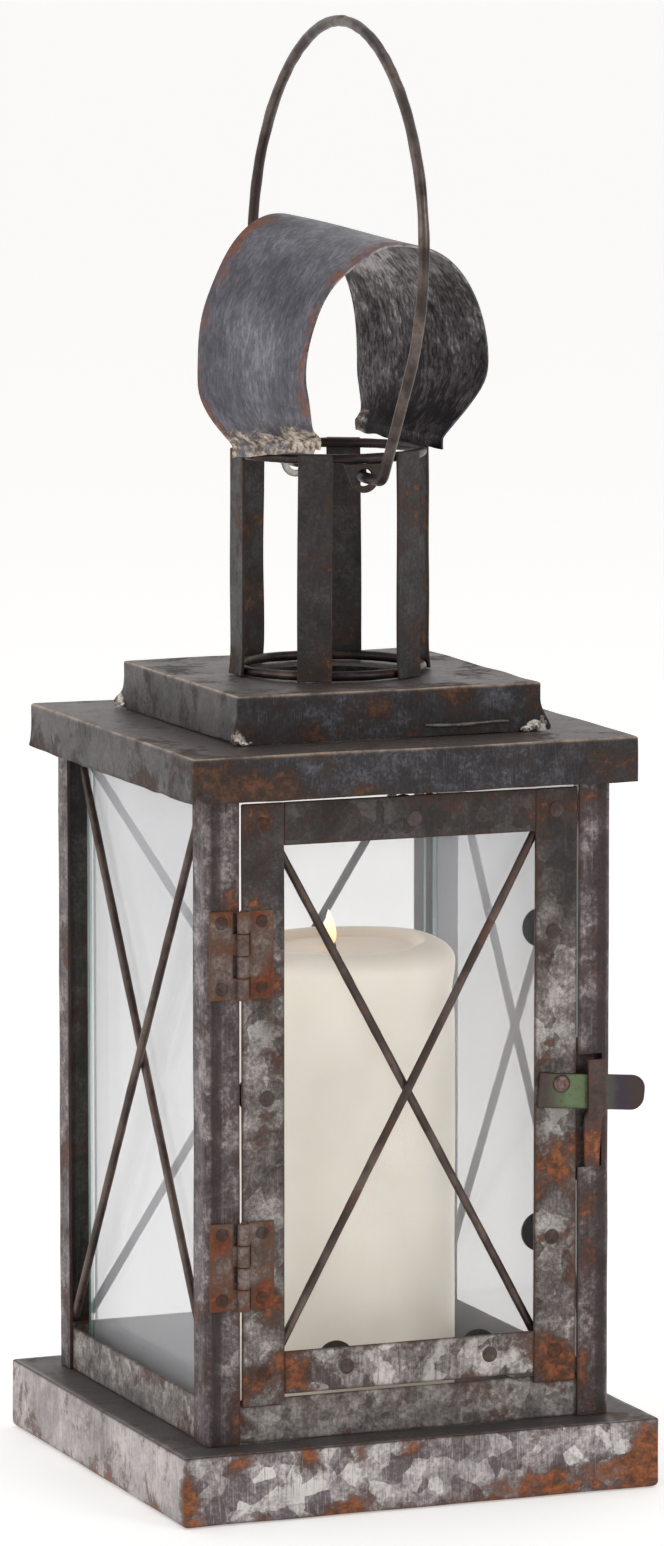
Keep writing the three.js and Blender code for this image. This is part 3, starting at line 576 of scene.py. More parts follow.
zincLook = {
    "light": "#C9C4C1", "mid": "#98908F", "dark": "#6B6163", "soot": "#4B4242", "halo": "#4A3026",
    "rust": "#B5642C", "rustDeep": "#7A3A1A", "worn": "#B4A79E", "spangle": 6.5 * mm, "facets": 0.12,
    "grime": 0.4, "scratch": 0.5, "scratchSize": (1.1 * mm, 1.1 * mm, 12 * mm), "rustFrom": 0.65,
    "rimRust": 0.09, "haloDepth": 0.85, "foldStrength": 0.3, "darkRim": 0.5, "metallic": 0.5, "rough": 0.5,
    "relief": 0.5, "levelLightingShare": 0.0, "levelLightingTone": "#4A4543", "sideLitCalm": 0.0, "sideLitTone": "#8E8282",
    "riseDarken": 0.0, "smear": (3 * mm, 3 * mm, 3 * mm), "foldGap": 1.0, "insideShade": 0.0,
}
baseZinc = weatheredZinc("galvanizedBaseSheet", {
    **zincLook, "light": "#D6D1CE", "mid": "#A09898", "dark": "#6A6063", "facets": 0.2, "spangle": 6 * mm,
    "scratchSize": (0.5 * mm, 0.5 * mm, 9 * mm), "scratch": 0.8, "grime": 0.35, "levelLightingShare": 0.92,
    "worn": "#4A3328", "foldStrength": 0.9, "rustFrom": 0.64, "rimRust": 0.16, "sideLitCalm": 0.62,
    "smear": (3 * mm, 3 * mm, 2.2 * mm), "sideLitTone": "#B6AEAC", "rust": "#9C5C36", "rustDeep": "#6E4026",
    "haloDepth": 0.7,
})
frameZinc = weatheredZinc("galvanizedFrameStrip", {
    **zincLook, "light": "#9C9593", "mid": "#6C6463", "dark": "#453D3D", "soot": "#362E2D",
    "halo": "#3F2A22", "rust": "#8A5230", "rustDeep": "#55321F", "grime": 0.6, "scratch": 0.35,
    "rustFrom": 0.62, "rimRust": 0.06, "metallic": 0.5, "rough": 0.48, "spangle": 5 * mm, "facets": 0.08,
    "worn": "#8B7D75", "darkRim": 0.7,
})
# The posts' worn tone is the dark band by the rounded corner: painted shade
postZinc = weatheredZinc("galvanizedCornerPost", {
    **zincLook, "light": "#9A908F", "mid": "#5E5455", "dark": "#352C2C", "soot": "#2C2323",
    "halo": "#3E2B25", "rust": "#7C4A30", "rustDeep": "#563428", "grime": 0.5, "scratch": 0.6,
    "scratchSize": (0.8 * mm, 0.8 * mm, 20 * mm), "rustFrom": 0.62, "rimRust": 0.06, "metallic": 0.5,
    "rough": 0.46, "spangle": 5 * mm, "facets": 0.07, "worn": "#2E2422", "foldStrength": 0.85, "darkRim": 0.8,
    "insideShade": 0.7,
})
sillZinc = weatheredZinc("galvanizedSill", {
    **zincLook, "light": "#B2ACA7", "mid": "#847D79", "dark": "#524B49", "grime": 0.4, "scratch": 0.35,
    "rustFrom": 0.63, "rimRust": 0.08, "spangle": 3 * mm, "facets": 0.1, "metallic": 0.5, "rust": "#8A5230",
    "rustDeep": "#5A3522",
})
doorLook = {
    **zincLook, "light": "#B0AAA6", "mid": "#746C69", "dark": "#423B39", "soot": "#241E1C",
    "halo": "#432C22", "rust": "#8C5230", "rustDeep": "#5A3420", "grime": 0.5, "scratch": 0.4,
    "rustFrom": 0.62, "rimRust": 0.05, "spangle": 5.5 * mm, "facets": 0.12, "worn": "#8B7D75",
    "darkRim": 0.8, "riseDarken": 0.86,
}
doorZinc = weatheredZinc("galvanizedDoorStrip", doorLook)
doorRailZinc = weatheredZinc("galvanizedDoorRail", {
    **doorLook, "light": "#CAC4C0", "mid": "#99918E", "dark": "#5A5250", "grime": 0.35, "scratch": 0.6,
    "facets": 0.15,
})
# The roof's worn tone is a pale line along its folds: painted highlight as well as wear
roofZinc = weatheredZinc("sootedRoofSheet", {
    **zincLook, "light": "#55555C", "mid": "#302D30", "dark": "#1D191A", "soot": "#1A1616",
    "halo": "#2E1F18", "rust": "#5E3B24", "rustDeep": "#3B261A", "grime": 0.6, "scratch": 0.8, "sideLitCalm": 0.4,
    "sideLitTone": "#706868", "scratchSize": (0.45 * mm, 0.45 * mm, 6 * mm), "rustFrom": 0.61, "rimRust": 0.06,
    "rough": 0.46, "spangle": 9 * mm, "facets": 0.04, "worn": "#B39C88", "foldStrength": 0.95, "foldGap": 0.35,
    "levelLightingShare": 0.55, "levelLightingTone": "#6C625C",
})
strapIron = weatheredZinc("blackenedStrapIron", {
    **zincLook, "light": "#4C4847", "mid": "#363232", "dark": "#262222", "soot": "#1E1A19",
    "halo": "#33241C", "rust": "#6A4228", "rustDeep": "#402A1D", "grime": 0.4, "scratch": 0.4,
    "rustFrom": 0.58, "rimRust": 0.06, "metallic": 0.55, "rough": 0.48, "spangle": 5 * mm, "facets": 0.03,
    "worn": "#6E625C",
})
hingeIron = weatheredZinc("rustedHingePlate", {
    **zincLook, "light": "#8E8079", "mid": "#685750", "dark": "#463831", "soot": "#40312A",
    "halo": "#634330", "rust": "#844429", "rustDeep": "#5A2F1F", "grime": 0.4, "scratch": 0.3,
    "rustFrom": 0.6, "rimRust": 0.1, "metallic": 0.3, "rough": 0.6, "spangle": 4 * mm, "facets": 0.05,
    "worn": "#B3A096", "darkRim": 0.8,
})
keeperIron = weatheredZinc("brownKeeperIron", {
    **zincLook, "light": "#66524B", "mid": "#4E3E39", "dark": "#3A2E2A", "soot": "#2C2320",
    "halo": "#5E3A2A", "rust": "#9C6440", "rustDeep": "#6E4028", "grime": 0.3, "scratch": 0.3,
    "rustFrom": 0.62, "rimRust": 0.05, "metallic": 0.4, "rough": 0.52, "spangle": 4 * mm, "facets": 0.03,
    "worn": "#9A8578", "darkRim": 0.5,
})
rivetIron = weatheredZinc("rustedRivetIron", {
    **zincLook, "light": "#64534B", "mid": "#4C3E39", "dark": "#382C28", "halo": "#3C271E",
    "rust": "#643A24", "rustDeep": "#47291B", "rustFrom": 0.6, "metallic": 0.4, "rough": 0.55,
    "spangle": 3 * mm, "facets": 0.03,
})
rivetSteel = weatheredZinc("polishedRivetSteel", {
    **zincLook, "light": "#8A7470", "mid": "#6B5450", "dark": "#4A3834", "rustFrom": 0.7, "metallic": 0.85,
    "rough": 0.3, "spangle": 3 * mm, "facets": 0.03, "grime": 0.2,
})
dullSolder = weatheredZinc("dullSolderBead", {
    **zincLook, "light": "#9A9490", "mid": "#807974", "dark": "#5E5753", "rustFrom": 0.75, "metallic": 0.4,
})
paleLug = weatheredZinc("brightLugPlate", {
    **zincLook, "light": "#D2CCC6", "mid": "#B5ADA6", "dark": "#8A8079", "grime": 0.2, "rustFrom": 0.7,
    "metallic": 0.5, "spangle": 4 * mm,
})


# Rolled hood sheet: thin zinc drawn round a former, so its flakes lie in streaks along the loop. Blue-grey
# outside with rust bands along both rims, sooty inside with pale streaks and painted shade that darkens it
# low down, crusted flux where it is soldered.
hoodLook = {
    "light": "#7C7B83", "mid": "#595860", "dark": "#3B3940", "insideLight": "#AFA8AA",
    "insideDark": "#1F1A1C", "rust": "#84513A", "rustDeep": "#5A382B", "flux": "#C9BFB1",
    "fluxDark": "#4E433D", "streak": (3.4, 1.0),
}


def rolledHoodSheet(look):
    material, tree, shader = newMaterial("rolledHoodSheet")
    where = put(tree, "TexCoord", out="Object")
    flow = put(tree, "Attribute", {"attribute_name": "flow"}, {}, "Vector")
    inside, rim, foot = [put(tree, "Attribute", {"attribute_name": mark}, {}, "Fac")
                         for mark in ("inside", "rim", "foot")]
    streakScale = [1 / (size * mm) for size in look["streak"]] + [1.0]
    drawn = put(tree, "Mapping", {}, {"Vector": flow, "Scale": streakScale})
    streak = put(tree, "TexNoise", {}, {"Vector": drawn, "Scale": 1.0, "Detail": 5.0, "Roughness": 0.7,
                                        "Distortion": 0.3})
    flake = put(tree, "TexVoronoi", {}, {"Vector": drawn, "Scale": 0.35}, "Color")
    flakeTone = put(tree, "SeparateColor", {}, {0: flake})
    cloud = put(tree, "TexNoise", {}, {"Vector": where, "Scale": 1 / (22 * mm), "Detail": 6.0,
                                       "Roughness": 0.6})
    tone = put(tree, "Mix", {}, {0: 0.14, 2: streak, 3: flakeTone})
    tone = put(tree, "Mix", {}, {0: 0.42, 2: tone, 3: cloud})
    rise = put(tree, "SeparateXYZ", {}, {0: where}, 2)
    # Painted shade: the inside is darker low down and paler higher up
    shade = put(tree, "MapRange", {}, {0: rise, 1: 0.338, 2: 0.4, 3: -0.1, 4: 0.07})
    outer = put(tree, "ValToRGB", {}, {0: tone})
    setRamp(outer, (0.34, look["dark"]), (0.5, look["mid"]), (0.64, look["light"]))
    innerTone = put(tree, "Math", {"operation": "ADD"}, {0: tone, 1: shade})
    inner = put(tree, "ValToRGB", {}, {0: innerTone})
    setRamp(inner, (0.38, look["insideDark"]), (0.5, "#5A5456"), (0.62, look["insideLight"]))
    colour = put(tree, "Mix", blend, {0: inside, 6: outer, 7: inner}, 2)
    field = put(tree, "TexNoise", {}, {"Vector": where, "Scale": 1 / (14 * mm), "Detail": 7.0,
                                       "Roughness": 0.62})
    crust = put(tree, "TexNoise", {}, {"Vector": where, "Scale": 1 / (2.4 * mm), "Detail": 7.0,
                                       "Roughness": 0.7})
    field = put(tree, "Math", scaleAdd, {0: rim, 1: 0.24, 2: field})
    field = put(tree, "Math", scaleAdd, {0: inside, 1: -0.3, 2: field})
    field = put(tree, "Math", scaleAdd, {0: crust, 1: 0.25, 2: field})
    rust = put(tree, "MapRange", eased, {0: field, 1: 0.76, 2: 1.0})
    oxide = put(tree, "ValToRGB", {}, {0: crust})
    setRamp(oxide, (0.35, look["rustDeep"]), (0.6, look["rust"]))
    colour = put(tree, "Mix", blend, {0: rust, 6: colour, 7: oxide}, 2)
    splash = put(tree, "TexNoise", {}, {"Vector": where, "Scale": 1 / (7 * mm), "Detail": 7.0,
                                        "Roughness": 0.65})
    splash = put(tree, "Math", scaleAdd, {0: foot, 1: 0.3, 2: splash})
    splash = put(tree, "MapRange", eased, {0: splash, 1: 0.6, 2: 0.76})
    reach = put(tree, "MapRange", {}, {0: foot, 1: 0.02, 2: 0.15})
    flux = put(tree, "Math", times, {0: splash, 1: reach})
    fluxColour = put(tree, "ValToRGB", {}, {0: crust})
    setRamp(fluxColour, (0.4, look["fluxDark"]), (0.47, "#8C7A6C"), (0.58, look["flux"]))
    colour = put(tree, "Mix", blend, {0: flux, 6: colour, 7: fluxColour}, 2)
    cover = put(tree, "Math", {"operation": "MAXIMUM"}, {0: rust, 1: flux})
    metal = put(tree, "MapRange", {}, {0: cover, 3: 0.6, 4: 0.1})
    dull = put(tree, "MapRange", {}, {0: tone, 1: 0.35, 2: 0.65, 3: 0.5, 4: 0.36})
    rough = put(tree, "Math", scaleAdd, {0: cover, 1: 0.3, 2: dull})
    height = put(tree, "Math", scaleAdd, {0: cover, 1: 0.8, 2: tone})
    bump = put(tree, "Bump", {}, {"Height": height, "Strength": 0.5, "Distance": 0.25 * mm})
    connect(tree, shader, {"Base Color": colour, "Metallic": metal, "Roughness": rough, "Normal": bump})
    return material


# Drawn steel wire, oxidised: a near-black brown skin, rubbed to grey-brown where it is handled
def drawnWire(name, skin, rubbed, rust, roughness):
    material, tree, shader = newMaterial(name)
    where = put(tree, "TexCoord", out="Object")
    worn = put(tree, "TexNoise", {}, {"Vector": where, "Scale": 1 / (16 * mm), "Detail": 6.0,
                                      "Roughness": 0.6})
    worn = put(tree, "MapRange", eased, {0: worn, 1: 0.42, 2: 0.66})
    pits = put(tree, "TexNoise", {}, {"Vector": where, "Scale": 1 / (1.3 * mm), "Detail": 5.0,
                                      "Roughness": 0.7})
    colour = put(tree, "Mix", blend, {0: worn, 6: linear(skin), 7: linear(rubbed)}, 2)
    bloom = put(tree, "TexNoise", {}, {"Vector": where, "Scale": 1 / (8 * mm), "Detail": 7.0,
                                       "Roughness": 0.66})
    bloom = put(tree, "MapRange", eased, {0: bloom, 1: 0.54, 2: 0.66, 3: 0.0, 4: 0.75})
    colour = put(tree, "Mix", blend, {0: bloom, 6: colour, 7: linear(rust)}, 2)
    gloss = put(tree, "MapRange", {}, {0: pits, 1: 0.3, 2: 0.7, 3: roughness - 0.06, 4: roughness + 0.1})
    rough = put(tree, "Math", scaleAdd, {0: bloom, 1: 0.25, 2: gloss})
    bump = put(tree, "Bump", {}, {"Height": pits, "Strength": 0.4, "Distance": 0.15 * mm})
    shader.inputs["Metallic"].default_value = 0.7
    connect(tree, shader, {"Base Color": colour, "Roughness": rough, "Normal": bump})
    return material


bailWire = drawnWire("oxidisedBailWire", "#3A302E", "#6B605B", "#523E2E", 0.36)
guardWire = drawnWire("oxidisedGuardWire", "#463A36", "#6C5E58", "#5C4034", 0.42)
ringWire = drawnWire("blackenedRingWire", "#2C2423", "#5E504A", "#4C3122", 0.36)


# Clear float glass: all but invisible face on, under a grey veil that is painted reflection, growing at a
# glancing angle and towards the top, and also a thin film of dust.
# The cut edge shows sea green, with pale streaks along it that are painted highlight.
def floatGlass():
    material, tree, shader = newMaterial("floatGlass")
    where = put(tree, "TexCoord", out="Object")
    edge = put(tree, "Attribute", {"attribute_name": "cut"}, {}, "Fac")
    # Painted reflection and dust: a grey opaque veil, more at a glancing angle and towards the top
    gloss = put(tree, "LayerWeight", {}, {"Blend": 0.2}, "Fresnel")
    dustAndReflectionVeil = put(tree, "TexNoise", {}, {"Vector": where, "Scale": 1 / (45 * mm), "Detail": 5.0,
                                      "Roughness": 0.55})
    dustAndReflectionVeil = put(tree, "MapRange", {}, {0: dustAndReflectionVeil, 1: 0.35, 2: 0.68, 3: 0.8, 4: 1.2})
    rise = put(tree, "SeparateXYZ", {}, {0: where}, 2)
    rise = put(tree, "MapRange", {}, {0: rise, 1: 0.04, 2: 0.23, 3: 0.01, 4: 0.13})
    dustAndReflectionVeil = put(tree, "Math", times, {0: dustAndReflectionVeil, 1: rise})
    clear = put(tree, "Math", {"operation": "MULTIPLY_ADD", "use_clamp": True}, {0: gloss, 1: 0.5, 2: dustAndReflectionVeil})
    alpha = put(tree, "MapRange", {}, {0: edge, 3: clear, 4: 0.75})
    # Painted highlight: pale streaks along the sea green cut edge
    bandScale = (1 / (1.4 * mm), 1 / (1.4 * mm), 1 / (80 * mm))
    edgeGlintBands = put(tree, "Mapping", {}, {"Vector": where, "Scale": bandScale})
    edgeGlintBands = put(tree, "TexNoise", {}, {"Vector": edgeGlintBands, "Scale": 1.0, "Detail": 3.0})
    green = put(tree, "ValToRGB", {}, {0: edgeGlintBands})
    setRamp(green, (0.36, "#5F8A80"), (0.5, "#9DBBB6"), (0.62, "#E4EEF0"))
    colour = put(tree, "Mix", blend, {0: edge, 6: linear("#C9CACF"), 7: green}, 2)
    shader.inputs["Roughness"].default_value = 0.05
    connect(tree, shader, {"Base Color": colour, "Alpha": alpha})
    return material


# Poured paraffin: ivory, so soft to light that it has no hard shadows, with a painted warm glow over the
# whole candle that is strongest in its top 45 mm
def pouredParaffin():
    material, tree, shader = newMaterial("ivoryParaffin")
    where = put(tree, "TexCoord", out="Object")
    mottle = put(tree, "TexNoise", {}, {"Vector": where, "Scale": 1 / (26 * mm), "Detail": 5.0,
                                        "Roughness": 0.5})
    colour = put(tree, "ValToRGB", {}, {0: mottle})
    setRamp(colour, (0.36, "#EDE8DB"), (0.64, "#F6F2E8"))
    pool = put(tree, "Attribute", {"attribute_name": "pool"}, {}, "Fac")
    colour = put(tree, "Mix", blend, {0: pool, 6: colour, 7: linear("#E3CDB6")}, 2)
    glow = put(tree, "Attribute", {"attribute_name": "glow"}, {}, "Fac")
    # Painted light: the wax glows of itself, a little everywhere and most towards its top
    paintedGlow = put(tree, "MapRange", {}, {0: glow, 3: 0.12, 4: 0.26})
    dimple = put(tree, "TexNoise", {}, {"Vector": where, "Scale": 1 / (6 * mm), "Detail": 4.0})
    bump = put(tree, "Bump", {}, {"Height": dimple, "Strength": 0.15, "Distance": 0.3 * mm})
    softness = {"Subsurface Weight": 0.4, "Subsurface Radius": (1.0, 0.65, 0.4), "Subsurface Scale": 6 * mm,
                "Roughness": 0.4, "Emission Color": linear("#FFE9CC")}
    for key, value in softness.items():
        shader.inputs[key].default_value = value
    connect(tree, shader, {"Base Color": colour, "Emission Strength": paintedGlow, "Normal": bump})
    return material


def charredCotton():  # braided wick burnt to soot, paler where it has drawn up wax
    material, tree, shader = newMaterial("charredCotton")
    where = put(tree, "TexCoord", out="Object")
    braid = put(tree, "TexNoise", {}, {"Vector": where, "Scale": 1 / (0.7 * mm), "Detail": 3.0})
    colour = put(tree, "ValToRGB", {}, {0: braid})
    setRamp(colour, (0.4, "#1A1210"), (0.65, "#54402E"))
    shader.inputs["Roughness"].default_value = 0.95
    connect(tree, shader, {"Base Color": colour})
    return material


def candleFlame():  # glowing soot: amber at the skirt, pale yellow in the body, fading to nothing at its rim
    material, tree, shader = newMaterial("candleFlame")
    climb = put(tree, "Attribute", {"attribute_name": "climb"}, {}, "Fac")
    glow = put(tree, "ValToRGB", {}, {0: climb})
    setRamp(glow, (0.0, "#F2B071"), (0.35, "#FFE0A6"), (0.8, "#FFF3D6"))
    facing = put(tree, "LayerWeight", {}, {"Blend": 0.5}, "Facing")
    alpha = put(tree, "MapRange", eased, {0: facing, 1: 0.95, 2: 0.45, 3: 0.0, 4: 0.92})
    shader.inputs["Base Color"].default_value = linear("#FFE6BE")
    shader.inputs["Emission Strength"].default_value = 1.1
    connect(tree, shader, {"Emission Color": glow, "Alpha": alpha})
    return material


# Soft solder, run out of the joint and frozen: bright silver skin with dull wrinkles
def frozenSolder():
    material, tree, shader = newMaterial("frozenSolder")
    where = put(tree, "TexCoord", out="Object")
    skin = put(tree, "TexNoise", {}, {"Vector": where, "Scale": 1 / (1.8 * mm), "Detail": 5.0,
                                      "Roughness": 0.6})
    colour = put(tree, "ValToRGB", {}, {0: skin})
    setRamp(colour, (0.36, "#5E4C42"), (0.5, "#B8B0A8"), (0.66, "#E8E4DF"))
    bump = put(tree, "Bump", {}, {"Height": skin, "Strength": 0.6, "Distance": 0.4 * mm})
    shader.inputs["Metallic"].default_value = 0.6
    shader.inputs["Roughness"].default_value = 0.34
    connect(tree, shader, {"Base Color": colour, "Normal": bump})
    return material


# Latch bar: mild steel with a green copper-salt bloom between rivet and keeper, purple-brown at the tip
def patinatedLatch():
    material, tree, shader = newMaterial("patinatedLatchSteel")
    where = put(tree, "TexCoord", out="Object")
    along = put(tree, "SeparateXYZ", {}, {0: where}, 0)
    blotch = put(tree, "TexNoise", {}, {"Vector": where, "Scale": 1 / (3 * mm), "Detail": 7.0,
                                        "Roughness": 0.7})
    shift = put(tree, "Math", scaleAdd, {0: blotch, 1: 6 * mm, 2: along})
    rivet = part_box("latch_rivet")
    start = (rivet[0][0] + rivet[1][0]) / 2 + 3 * mm
    way = put(tree, "MapRange", {}, {0: shift, 1: start - 10 * mm, 2: start + 30 * mm})
    tint = put(tree, "ValToRGB", {}, {0: way})
    setRamp(tint, (0.12, "#463834"), (0.3, "#5D6E4C"), (0.5, "#5B6A49"), (0.66, "#4C4A42"),
            (0.76, "#332838"), (0.88, "#3A2B28"))
    speckle = put(tree, "MapRange", eased, {0: blotch, 1: 0.5, 2: 0.64, 3: 0.0, 4: 0.6})
    colour = put(tree, "Mix", blend, {0: speckle, 6: tint, 7: linear("#35302A")}, 2)
    rim = put(tree, "Attribute", {"attribute_name": "rim"}, {}, "Fac")
    dark = put(tree, "MapRange", {}, {0: rim, 1: 0.4, 2: 1.0, 3: 0.0, 4: 0.85})
    colour = put(tree, "Mix", blend, {0: dark, 6: colour, 7: linear("#38231C")}, 2)
    bump = put(tree, "Bump", {}, {"Height": blotch, "Strength": 0.5, "Distance": 0.2 * mm})
    shader.inputs["Metallic"].default_value = 0.35
    shader.inputs["Roughness"].default_value = 0.5
    connect(tree, shader, {"Base Color": colour, "Normal": bump})
    return material


hoodSheet = rolledHoodSheet(hoodLook)
paneGlass = floatGlass()
paraffin = pouredParaffin()
cotton = charredCotton()
flameGlow = candleFlame()
solder = frozenSolder()
latchPatina = patinatedLatch()
print("materials made")


def boxOf(node):
    return [np.array(corner, dtype=float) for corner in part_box(node)]


def barFor(node, material, body, slotName, seed, **extra):  # a bar in place of a CAD slab
    low, high = boxOf(node)
    along, thick = int(np.argmax(high - low)), int(np.argmin(high - low))
    piece = makeBar(node + "_sheet", low, high, along, 3 - along - thick, material, seed=seed, **extra)
    return settle(piece, body, slotName, node)


# The skirt of a tray seen in section: flat top from an inner edge, bent down, to the hem
def skirtProfile(start, top, bend, low, spacing=3 * mm):
    near = np.array([0.4, 1.0]) * mm
    flat = np.linspace(start, bend + 2 * mm, max(4, int((start - bend) / spacing)))
    inset = np.concatenate([flat, bend + near[::-1]])
    drop = np.concatenate([top - bend - near, np.linspace(top - bend - 2 * mm, low, 10)])
    flat = np.stack([inset, 0 * inset + top], -1)
    skirt = np.stack([0 * drop, drop], -1)
    return np.concatenate([flat, arcPoints((bend, top - bend), bend, 90, 180, 6), skirt])


base = {"bend": 0.9 * mm, "hem": 1.8 * mm, "lip": 7 * mm, "corner": 1.1 * mm, "dent": 0.22 * mm}


def makeBase():
    high = boxOf("base_tray")[1]
    top = skirtProfile(high[0], high[2], base["bend"], base["hem"])
    hem = arcPoints((base["hem"], base["hem"]), base["hem"], 180, 270, 5)[1:]
    lip = np.linspace((base["hem"], 0), (base["lip"], 0), 4)[1:]
    profile = np.concatenate([top, hem, lip])
    tray = makeTray("base_tray_sheet", high[0], base["corner"], profile, baseZinc, dent=base["dent"],
                    seed=11)
    settle(tray, "lantern", "galvanized", "base_tray")


lid = {
    "bend": 0.9 * mm, "corner": 1.2 * mm, "hole": 46 * mm, "dent": 0.3 * mm, "rag": 0.16 * mm,
    "nick": 4 * mm,
}
cap = {
    "bend": 0.8 * mm, "corner": 1.0 * mm, "vent": 25 * mm, "dent": 0.35 * mm, "lift": 1.1 * mm,
    "flare": 2.4 * mm, "rag": 0.12 * mm,
}


def shapeLid(points):  # a ragged hem, a nick by the near corner and a curled far corner
    low, high = boxOf("lid")
    depth = (high[2] - points[..., 2]) / (high[2] - low[2])
    shift = ripple(points * [1, 1, 0], 14 * mm, 21) * lid["rag"] * depth
    onFront = points[..., 1] < low[1] + 2 * mm
    nick = np.exp(-((points[..., 0] - low[0] - 2.4 * mm) / (1.2 * mm)) ** 4) * onFront
    curl = np.exp(-np.linalg.norm(points[..., :2] - [low[0], high[1]], axis=-1) / (3 * mm)) * depth ** 3
    points = points.copy()
    points[..., 2] += shift + nick * lid["nick"] * smoothStep(depth, 0.55, 1.0)
    points[..., 0] -= curl * 1.6 * mm
    points[..., 2] += curl * 1.2 * mm
    return points


def torn(points):  # nearness to the foot of the cap's three torn corners, and the way out from each
    low, high = boxOf("cap")
    depth = (high[2] - points[..., 2]) / (high[2] - low[2])
    near, way = 0, 0
    for x, y, reach in ((-1, -1, 3.4 * mm), (-1, 1, 3.6 * mm), (1, -1, 2.6 * mm)):
        gap = np.linalg.norm(points[..., :2] - np.array([x, y]) * high[0], axis=-1) / reach
        share = np.exp(-gap * gap) * smoothStep(depth, 0.35, 1)
        near = near + share
        way = way + share[..., None] * np.array([x, y])
    return near, way


def shapeCap(points):  # its near left corner has sprung open and lifts off the lid; three corners flare out
    low, high = boxOf("cap")
    depth = (high[2] - points[..., 2]) / (high[2] - low[2])
    onLeft = points[..., 0] < low[0] + 2 * mm
    lift = np.exp(-np.linalg.norm(points[..., :2] - low[:2], axis=-1) / (22 * mm)) * onLeft
    near, way = torn(points)
    points = points.copy()
    points[..., 2] += (lift * cap["lift"] + ripple(points * [1, 1, 0], 12 * mm, 27) * cap["rag"]) * depth
    points[..., 2] += near * (0.6 * mm + ripple(points, 4 * mm, 29) * 0.5 * mm)
    points[..., :2] += way * cap["flare"] * (1 + 0.5 * ripple(points, 5 * mm, 28))[..., None]
    return points


def makeRoof():
    low, high = boxOf("lid")
    profile = skirtProfile(high[0] - lid["hole"], high[2], lid["bend"], low[2])
    sheet = makeTray("lid_sheet", high[0], lid["corner"], profile, roofZinc, dent=lid["dent"], seed=4,
                     reshape=shapeLid)
    settle(sheet, "lantern", "roof_sheet", "lid")
    low, high = boxOf("cap")
    profile = skirtProfile(high[0] - cap["vent"], high[2], cap["bend"], low[2], 2 * mm)
    sheet = makeTray("cap_sheet", high[0], cap["corner"], profile, roofZinc, dent=cap["dent"], seed=9,
                     hole=cap["vent"], reshape=shapeCap, tin=lambda points: 0.95 * torn(points)[0])
    settle(sheet, "lantern", "roof_sheet", "cap")


# Solder blobs: a sphere of three different radii with a wrinkled skin. Place, radii and seed, in mm.
blobs = {
    "cap_near": ((-52.6, -52.9, 247.6), (1.9, 1.3, 1.7), 3),
    "cap_near_low": ((-50.4, -53.2, 246.4), (2.6, 1.0, 0.8), 5),
    "cap_right": ((50.2, -53.0, 247.6), (2.6, 1.1, 1.6), 8),
    "cap_right_low": ((47.4, -53.0, 246.6), (2.2, 0.9, 1.1), 2),
    "cap_left": ((-53.2, 51.6, 247.2), (1.2, 2.4, 1.4), 6),
}


def makeSolder():
    angle = np.linspace(0, math.pi, 15)
    made = []
    for name, (centre, radii, seed) in blobs.items():
        centre, radii = np.array(centre) * mm, np.array(radii) * mm
        profile = np.stack([np.sin(angle), -np.cos(angle)], -1)

        def wrinkle(grid, centre=centre, radii=radii, seed=seed):
            ball = grid * (1 + 0.16 * ripple(grid, 1.3, seed))[..., None]
            return centre + ball * radii
        made.append(makeTurned("blob_" + name, profile, (0, 0, 0), (0, 0, 1), solder, 26, 80, wrinkle))
    along = np.linspace(12, 41, 30)
    bead = np.stack([along, np.full(30, -53.0), 249.2 + 0.25 * np.sin(along * 0.21)], -1) * mm
    thick = 0.6 * mm * np.sin(np.linspace(0.25, math.pi - 0.15, 30)) ** 0.4
    made.append(makeWire("bead", bead, thick, dullSolder, dent=0.12 * mm, sides=12))
    settle(joinPieces("cap_solder", made), "lantern", "roof_sheet")


post = {
    "bend": 3.0 * mm, "leg": 11.5 * mm, "thick": 1.0 * mm, "groove": 6.2 * mm, "grooveDepth": 0.3 * mm,
    "notch": (105 * mm, 142 * mm), "notchLeg": 3.3 * mm,
}


